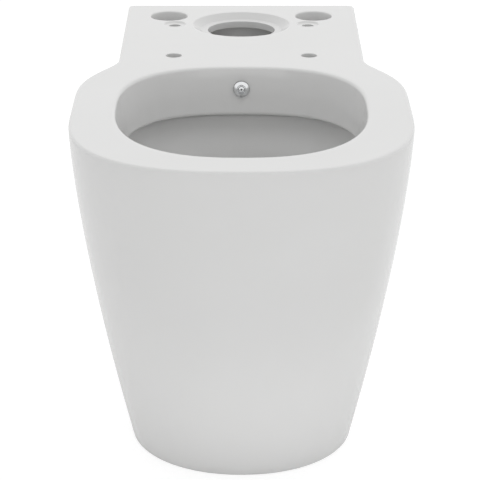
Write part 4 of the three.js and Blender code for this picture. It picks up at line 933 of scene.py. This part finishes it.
def ball_retainer():
    foot, top = SOCKET_FLOOR + GAP, DOME_HEIGHT + RETAINER_PROUD
    crown = quarter(RETAINER_RADIUS - RETAINER_ROUND, top - RETAINER_ROUND, RETAINER_ROUND, 6)
    inside = arc_points(BALL_CENTRE, BALL_SEAT, acos(MOUTH_RADIUS / BALL_SEAT), 0, 8)
    return placed(turned([(BALL_SEAT, foot), (RETAINER_RADIUS, foot), *crown, *inside], FINE_SIDES), NOZZLE)


def spray_ball():
    face = acos(ORIFICE_RADIUS / BALL_RADIUS)
    back = -acos(BALL_BORE / BALL_RADIUS)
    floor = BALL_CENTRE + BALL_RADIUS * sin(face) - ORIFICE_DEPTH
    outside = arc_points(BALL_CENTRE, BALL_RADIUS, back, face, 32)
    outline = [(BALL_BORE, floor), *outside, (ORIFICE_RADIUS - ORIFICE_TAPER, floor)]
    return placed(turned(outline, FINE_SIDES), NOZZLE)


def washer(inner, outer, low, high):
    return turned(rounded_ring(rectangle(inner, low, outer, high), WASHER_ROUND))


def front_gasket():
    return placed(washer(ON_SHANK, DOME_RADIUS + GASKET_LIP, GAP, GAP + FRONT_GASKET), NOZZLE)


def rear_gasket():
    return placed(washer(ON_SHANK, REAR_RADIUS, GASKET_TOP - REAR_GASKET, GASKET_TOP), NOZZLE)


def rear_washer():
    return placed(washer(ON_SHANK, REAR_RADIUS, WASHER_TOP - REAR_WASHER, WASHER_TOP), NOZZLE)


def nut(across, low, high, inside):
    """Hexagonal nut with chamfered corners and a turned inside"""
    corner, turns = across / 2 / cos(pi / 6), [RIGHT_ANGLE + pi / 3 * i for i in range(6)]
    hexagon = prism([(corner * cos(a), corner * sin(a)) for a in turns], low - 1, high + 1)
    flat, beyond = across / 2 - NUT_CHAMFER, corner + 0.01
    slope = (corner - across / 2 + NUT_CHAMFER) * tan(pi / 6)
    chamfer = turned([(0, low), (flat, low), (beyond, low + slope), (beyond, high - slope), (flat, high),
                      (0, high)], FINE_SIDES)
    return combine(combine(hexagon, "INTERSECT", chamfer), "DIFFERENCE", turned(inside))


def bored(low, high, low_bore, high_bore, between=()):
    """Outline of a bore from its lower to its upper mouth, each a (radius, chamfer)"""
    (low_radius, low_chamfer), (high_radius, high_chamfer) = low_bore, high_bore
    low_mouth, high_mouth = low_radius + low_chamfer, high_radius + high_chamfer
    return [(0, low - 1), (low_mouth, low - 1), (low_mouth, low), (low_radius, low + low_chamfer), *between,
            (high_radius, high - high_chamfer), (high_mouth, high), (high_mouth, high + 1), (0, high + 1)]


def locknut():
    low, bore = LOCKNUT_TOP - LOCKNUT_LENGTH, (ON_SHANK, BORE_CHAMFER)
    return placed(nut(LOCKNUT_ACROSS, low, LOCKNUT_TOP, bored(low, LOCKNUT_TOP, bore, bore)), NOZZLE)


def tube_olive():
    """Brass ring round the tube, thickest at its middle"""
    foot, middle = OLIVE_TOP - OLIVE_LENGTH, OLIVE_TOP - OLIVE_LENGTH / 2
    edge, crest = ON_TUBE + OLIVE_EDGE, ON_TUBE + OLIVE_THICKNESS
    outline = [(ON_TUBE, foot), (edge, foot), (crest, middle - OLIVE_CREST), (crest, middle + OLIVE_CREST),
               (edge, OLIVE_TOP), (ON_TUBE, OLIVE_TOP)]
    return placed(turned(outline), NOZZLE)


def tube_nut():
    foot, top = NUT_SHOULDER - NUT_END, SHANK_END + NUT_GRIP
    inside = bored(foot, top, (ON_TUBE, SMALL_CHAMFER), (ON_SHANK, BORE_CHAMFER),
                   [(ON_TUBE, NUT_SHOULDER), (ON_SHANK, NUT_SHOULDER)])
    return placed(nut(TUBE_NUT_ACROSS, foot, top, inside), NOZZLE)


def feed_tube():
    """Copper tube from the nozzle's shank down behind the bowl and back to the inlet"""
    first = NOZZLE @ Vector((0, 0, SHANK_END + TUBE_SOCKET - GAP))
    corner = NOZZLE @ Vector((0, 0, SHANK_END - OLIVE_LENGTH - NUT_END - TUBE_DROP))
    end_y = NECK_FOOT + TUBE_SOCKET - GAP
    knee_y = end_y - 3 * TUBE_BEND
    corners = [first, corner, (0, corner.y, TUBE_LEVEL), (INLET_X, (corner.y + knee_y) / 2, TUBE_LEVEL),
               (INLET_X, knee_y, INLET_Z), (INLET_X, end_y, INLET_Z)]
    path = rounded_path(corners, TUBE_BEND, TUBE_STEP)
    shell = Shell()
    outer, inner = (shell.stack(tube_rings(path, radius, 40)) for radius in (TUBE_RADIUS, TUBE_BORE))
    shell.bridge([outer[0], inner[0]])
    shell.bridge([outer[-1], inner[-1]])
    return shell.object()


def inlet_tailpiece():
    flange, neck, end = UNION_BORE - GAP, NECK_FOOT + TUBE_SOCKET, FLANGE_FOOT + FLANGE
    corners = [(TUBE_BORE, FLANGE_FOOT + 1), (TUBE_BORE, neck), (ON_TUBE, neck), (ON_TUBE, NECK_FOOT),
               (NECK_RADIUS, NECK_FOOT), (NECK_RADIUS, FLANGE_FOOT), (flange, FLANGE_FOOT), (flange, end),
               (TUBE_BORE, end), (TUBE_BORE, FLANGE_FOOT + 1)]
    rounds = [0, 0, 0, NECK_ROUND, NECK_ROUND, FLANGE_FILLET, FLANGE_ROUND, FLANGE_ROUND, NECK_ROUND, 0]
    return placed(turned(rounded(corners, rounds, 3)[:-1]), INLET)


def inlet_washer():
    low = FLANGE_FOOT + FLANGE + GAP
    return placed(washer(TUBE_BORE, UNION_BORE - GAP, low, low + INLET_WASHER), INLET)


def union_nut():
    hole, shoulder = NECK_RADIUS + GAP, UNION_FOOT + UNION_SHOULDER
    between, depth = [(hole, shoulder), (UNION_BORE, shoulder)], shoulder + GROOVE_START
    while depth < UNION_END - GROOVE_END:
        middle = (UNION_BORE + GROOVE_DEPTH, depth + GROOVE / 2)
        between += [(UNION_BORE, depth), middle, (UNION_BORE, depth + GROOVE)]
        depth += GROOVE_PITCH
    inside = bored(UNION_FOOT, UNION_END, (hole, SMALL_CHAMFER), (UNION_BORE, UNION_MOUTH), between)
    return placed(nut(UNION_ACROSS, UNION_FOOT, UNION_END, inside), INLET)


# Floor fixings
BRACKET_THICKNESS, BRACKET_WIDTH, BRACKET_HEIGHT, BRACKET_FOOT = 5, 40, 66, 42
BRACKET_ROUND, BRACKET_EDGE, BRACKET_HOLE_RADIUS = 8, 0.6, 4
BRACKET_FACE = FOOT_WIDTH / 2 - SKIRT_WALL - GAP
SLEEVE_RADIUS, SLEEVE_FLANGE, SLEEVE_FLANGE_RADIUS, SLEEVE_ROUND = FIXING_HOLE_RADIUS - GAP, 1.6, 10.5, 0.25
CUP_RADIUS, SLEEVE_FOOT, SLEEVE_FLOOR = SLEEVE_RADIUS - 1.2, -SKIRT_WALL + GAP, 2
SCREW_RADIUS, SCREW_LENGTH, SCREW_POINT, SCREW_POINT_RADIUS, SCREW_NECK = 3, 34, 3, 2, 4
SCREW_THREAD = (2, 0.7)
HEAD_RADIUS, HEAD_HEIGHT, HEAD_ROUND, SLOT_HALF_WIDTH = 4.8, 3.2, 1.1, 0.6
CAP_RADIUS, CAP_CROWN, CAP_EDGE, CAP_PLUG, CAP_CHAMFER = 10.5, 2.4, 1, 3, 0.3
ON_SCREW = SCREW_RADIUS + GAP


def floor_bracket(side):
    """Angle that stands on the floor inside the skirt"""
    half, back = BRACKET_WIDTH / 2, BRACKET_FACE - BRACKET_THICKNESS
    rounds = [0, 0, 0, BRACKET_ROUND, BRACKET_ROUND, 0]
    plate = rounded_ring(rectangle(-half, 0, half, BRACKET_HEIGHT), rounds, 10)
    upright = loft([[(x, FIXING_Y + y, z) for y, z in plate] for x in (back, BRACKET_FACE)])
    foot = box((BRACKET_FACE - BRACKET_FOOT, FIXING_Y - half, 0),
               (BRACKET_FACE, FIXING_Y + half, BRACKET_THICKNESS))
    angle = softened(combine(upright, "UNION", foot), BRACKET_EDGE)
    bore = (BRACKET_HOLE_RADIUS, BORE_CHAMFER)
    hole = turned(bored(0, BRACKET_THICKNESS, bore, bore), 48)
    middle = BRACKET_FACE - (BRACKET_FOOT + BRACKET_THICKNESS) / 2
    angle = combine(angle, "DIFFERENCE", placed(hole, Matrix.Translation((middle, FIXING_Y, 0))),
                    placed(rod(ON_SCREW, -SCREW_LENGTH, SCREW_LENGTH, 48), fixing_frame(1)))
    return placed(angle, Matrix.Diagonal((side, 1, 1, 1)))


def screw_sleeve(side):
    top, floor = GAP + SLEEVE_FLANGE, SLEEVE_FOOT + SLEEVE_FLOOR
    corners = [(ON_SCREW, SLEEVE_FOOT), (SLEEVE_RADIUS, SLEEVE_FOOT), (SLEEVE_RADIUS, GAP),
               (SLEEVE_FLANGE_RADIUS, GAP), (SLEEVE_FLANGE_RADIUS, top), (CUP_RADIUS, top),
               (CUP_RADIUS, floor), (ON_SCREW, floor)]
    return placed(turned(rounded_ring(corners, SLEEVE_ROUND)), fixing_frame(side))


def side_screw(side):
    seat = SLEEVE_FOOT + SLEEVE_FLOOR + GAP
    tip, top = seat - SCREW_LENGTH, seat + HEAD_HEIGHT
    crown = quarter(HEAD_RADIUS - HEAD_ROUND, top - HEAD_ROUND, HEAD_ROUND, 6)
    thread = (SCREW_RADIUS, tip + SCREW_POINT, seat - SCREW_NECK, *SCREW_THREAD)
    outline = [(0, tip), (SCREW_POINT_RADIUS, tip), (SCREW_RADIUS, tip + SCREW_POINT),
               (SCREW_RADIUS, seat - SCREW_NECK), (SCREW_RADIUS, seat), (HEAD_RADIUS, seat), *crown, (0, top)]
    screw, reach = turned(outline, thread=thread), HEAD_RADIUS + CLEAR
    slot = box((-reach, -SLOT_HALF_WIDTH, seat + HEAD_HEIGHT / 2), (reach, SLOT_HALF_WIDTH, top + CLEAR))
    return placed(combine(screw, "DIFFERENCE", slot), fixing_frame(side))


def cover_cap(side):
    base, plug = 2 * GAP + SLEEVE_FLANGE, CUP_RADIUS - GAP
    crown = quarter(0, base + CAP_EDGE, CAP_RADIUS, 14, CAP_CROWN - CAP_EDGE)
    outline = [(0, base - CAP_PLUG), (plug - SMALL_CHAMFER, base - CAP_PLUG),
               (plug, base - CAP_PLUG + SMALL_CHAMFER), (plug, base), (CAP_RADIUS - CAP_CHAMFER, base),
               (CAP_RADIUS, base + CAP_CHAMFER), *crown[:-1], (0, crown[-1][1])]
    return placed(turned(outline), fixing_frame(side))


# Studio


def seen_rays(tree, mirrored):
    """1 for rays from the camera and through clear things, a share for mirrored ones, 0 for the rest"""
    rays = add_node(tree, "ShaderNodeLightPath").outputs
    seen = worked(tree, "ShaderNodeMath", "MULTIPLY", rays["Is Glossy Ray"], mirrored)
    for key in ("Is Camera Ray", "Is Transmission Ray"):
        seen = worked(tree, "ShaderNodeMath", "MAXIMUM", seen, rays[key])
    return seen


def mixed(tree, factor, first, second):
    """Output of two shaders mixed by a factor"""
    return add_node(tree, "ShaderNodeMixShader", {"Fac": factor, 1: first, 2: second}).outputs["Shader"]


def pale_floor():
    """Floor that looks evenly pale to the camera, lights the object as a matt one and is clear from below"""
    floor = new_object("floor", bpy.data.meshes.new("floor"))
    edit = bmesh.new()
    bmesh.ops.create_grid(edit, x_segments=1, y_segments=1, size=12)
    edit.to_mesh(floor.data)
    edit.free()
    floor.location.z = -MM / 2
    pale = new_material("pale_floor", (0.92, 0.92, 0.92), 0.9)
    tree = pale.node_tree
    shader = tree.nodes["Principled BSDF"]
    shader.inputs["Specular IOR Level"].default_value = 0.1
    shade = add_node(tree, "ShaderNodeBsdfDiffuse", {"Color": (0.27, 0.27, 0.27, 1)}).outputs[0]
    white = add_node(tree, "ShaderNodeEmission", {"Strength": 0.82}).outputs[0]
    even = add_node(tree, "ShaderNodeAddShader", {0: shade, 1: white}).outputs[0]
    above = mixed(tree, seen_rays(tree, 0.2), shader.outputs["BSDF"], even)
    clear = add_node(tree, "ShaderNodeBsdfTransparent").outputs[0]
    below = add_node(tree, "ShaderNodeNewGeometry").outputs["Backfacing"]
    tree.links.new(mixed(tree, below, above, clear), tree.nodes["Material Output"].inputs["Surface"])
    floor.data.materials.append(pale)


def soft_world():
    """White behind the object, and light that grows towards the sky over its rear"""
    world = bpy.data.worlds.new("studio")
    bpy.context.scene.world = world
    world.use_nodes = True
    tree = world.node_tree
    tree.nodes.clear()
    white = (1, 1, 1, 1)
    place = add_node(tree, "ShaderNodeTexCoord").outputs["Generated"]
    along = worked(tree, "ShaderNodeVectorMath", "DOT_PRODUCT", place, (0.08, 0.45, 0.89), output="Value")
    strength = mapped(tree, along, 0.43, 1.2, 0, 1)
    light = add_node(tree, "ShaderNodeBackground", {"Color": white, "Strength": strength}).outputs[0]
    bright = add_node(tree, "ShaderNodeBackground", {"Color": white, "Strength": 1}).outputs[0]
    add_node(tree, "ShaderNodeOutputWorld", {"Surface": mixed(tree, seen_rays(tree, 1), light, bright)})


def lamp(name, place, target, size, power, spread):
    """Soft lamp that the camera doesn't see"""
    data = bpy.data.lights.new(name, "AREA")
    data.shape, data.energy = "RECTANGLE", power
    data.size, data.size_y = size
    data.spread = radians(spread)
    made = new_object(name, data)
    made.location, made.visible_camera = place, False
    made.rotation_euler = (Vector(target) - Vector(place)).to_track_quat("-Z", "Y").to_euler()


def camera():
    """Camera of the photograph, whose focal length is 2279.7 pixels in a picture of 480"""
    data = bpy.data.cameras.new("camera")
    data.sensor_width = 36
    data.lens = 2279.7 / 480 * data.sensor_width
    data.clip_end = 50
    made = new_object("camera", data)
    made.location = (-0.0016, -2.4306, 1.0908)
    made.rotation_euler = (RIGHT_ANGLE - radians(19.919), 0, 0)
    bpy.context.scene.camera = made


for make in (ware_glaze, shaded_basin_glaze, chrome, brass, copper, steel, rubber, nylon, cap_plastic):
    make()

finished(glazed_pan(), "glazed_pan", "pan", "glaze", ["rim_deck", "pan_skirt"])
# The bowl and the duct take the darker copy of the glaze, as painted shade
finished(glazed_bowl(), "glazed_bowl", "pan", "glaze", ["bowl", "trapway"], "shaded_basin_glaze")
finished(glazed_duct(), "glazed_duct", "pan", "glaze", ["flush_duct"], "shaded_basin_glaze")
finished(nozzle_body(), "spray_nozzle", "pan", "chrome", ["nozzle_body"])
finished(ball_retainer(), "retainer_ring", "retainer", "chrome", ["ball_retainer"])
finished(spray_ball(), "swivel_ball", "ball", "chrome", ["spray_ball"])
finished(front_gasket(), "front_gasket", "pan", "rubber", ["nozzle_gasket"])
finished(rear_gasket(), "back_gasket", "pan", "rubber", ["rear_gasket"])
finished(rear_washer(), "back_washer", "pan", "steel", ["rear_washer"])
finished(locknut(), "locknut", "pan", "brass", ["nozzle_locknut"])
finished(tube_olive(), "olive", "pan", "brass", ["tube_olive"])
finished(tube_nut(), "compression_nut", "pan", "brass", ["tube_nut"])
finished(feed_tube(), "copper_tube", "pan", "copper", ["feed_tube"])
finished(inlet_tailpiece(), "tailpiece", "pan", "brass", ["inlet_tailpiece"])
finished(inlet_washer(), "flat_washer", "pan", "rubber", ["inlet_washer"])
finished(union_nut(), "union_nut", "union_nut", "chrome", ["inlet_union_nut"])
for side, name in ((1, "right"), (-1, "left")):
    finished(floor_bracket(side), f"bracket_{name}", "pan", "nylon", [f"floor_bracket_{name}"])
    finished(screw_sleeve(side), f"sleeve_{name}", "pan", "nylon", [f"screw_sleeve_{name}"])
    finished(side_screw(side), f"screw_{name}", "pan", "steel", [f"side_screw_{name}"])
    finished(cover_cap(side), f"cap_{name}", "pan", "cap_plastic", [f"cover_cap_{name}"])

pale_floor()
soft_world()
lamp("lamp_low", (0.05, -0.56, 0.06), (0.02, -0.16, 0.03), (0.9, 0.1), 0.085, 70)
lamp("lamp_front", (0.2, -0.98, 0.34), (0.05, -0.5, 0), (1.5, 0.3), 0.45, 180)
lamp("lamp_over", (0, -1.9, 0.62), (0, -0.3, 0.4), (1.6, 0.3), 1.5, 180)
camera()
bpy.context.scene.view_settings.view_transform = "Standard"
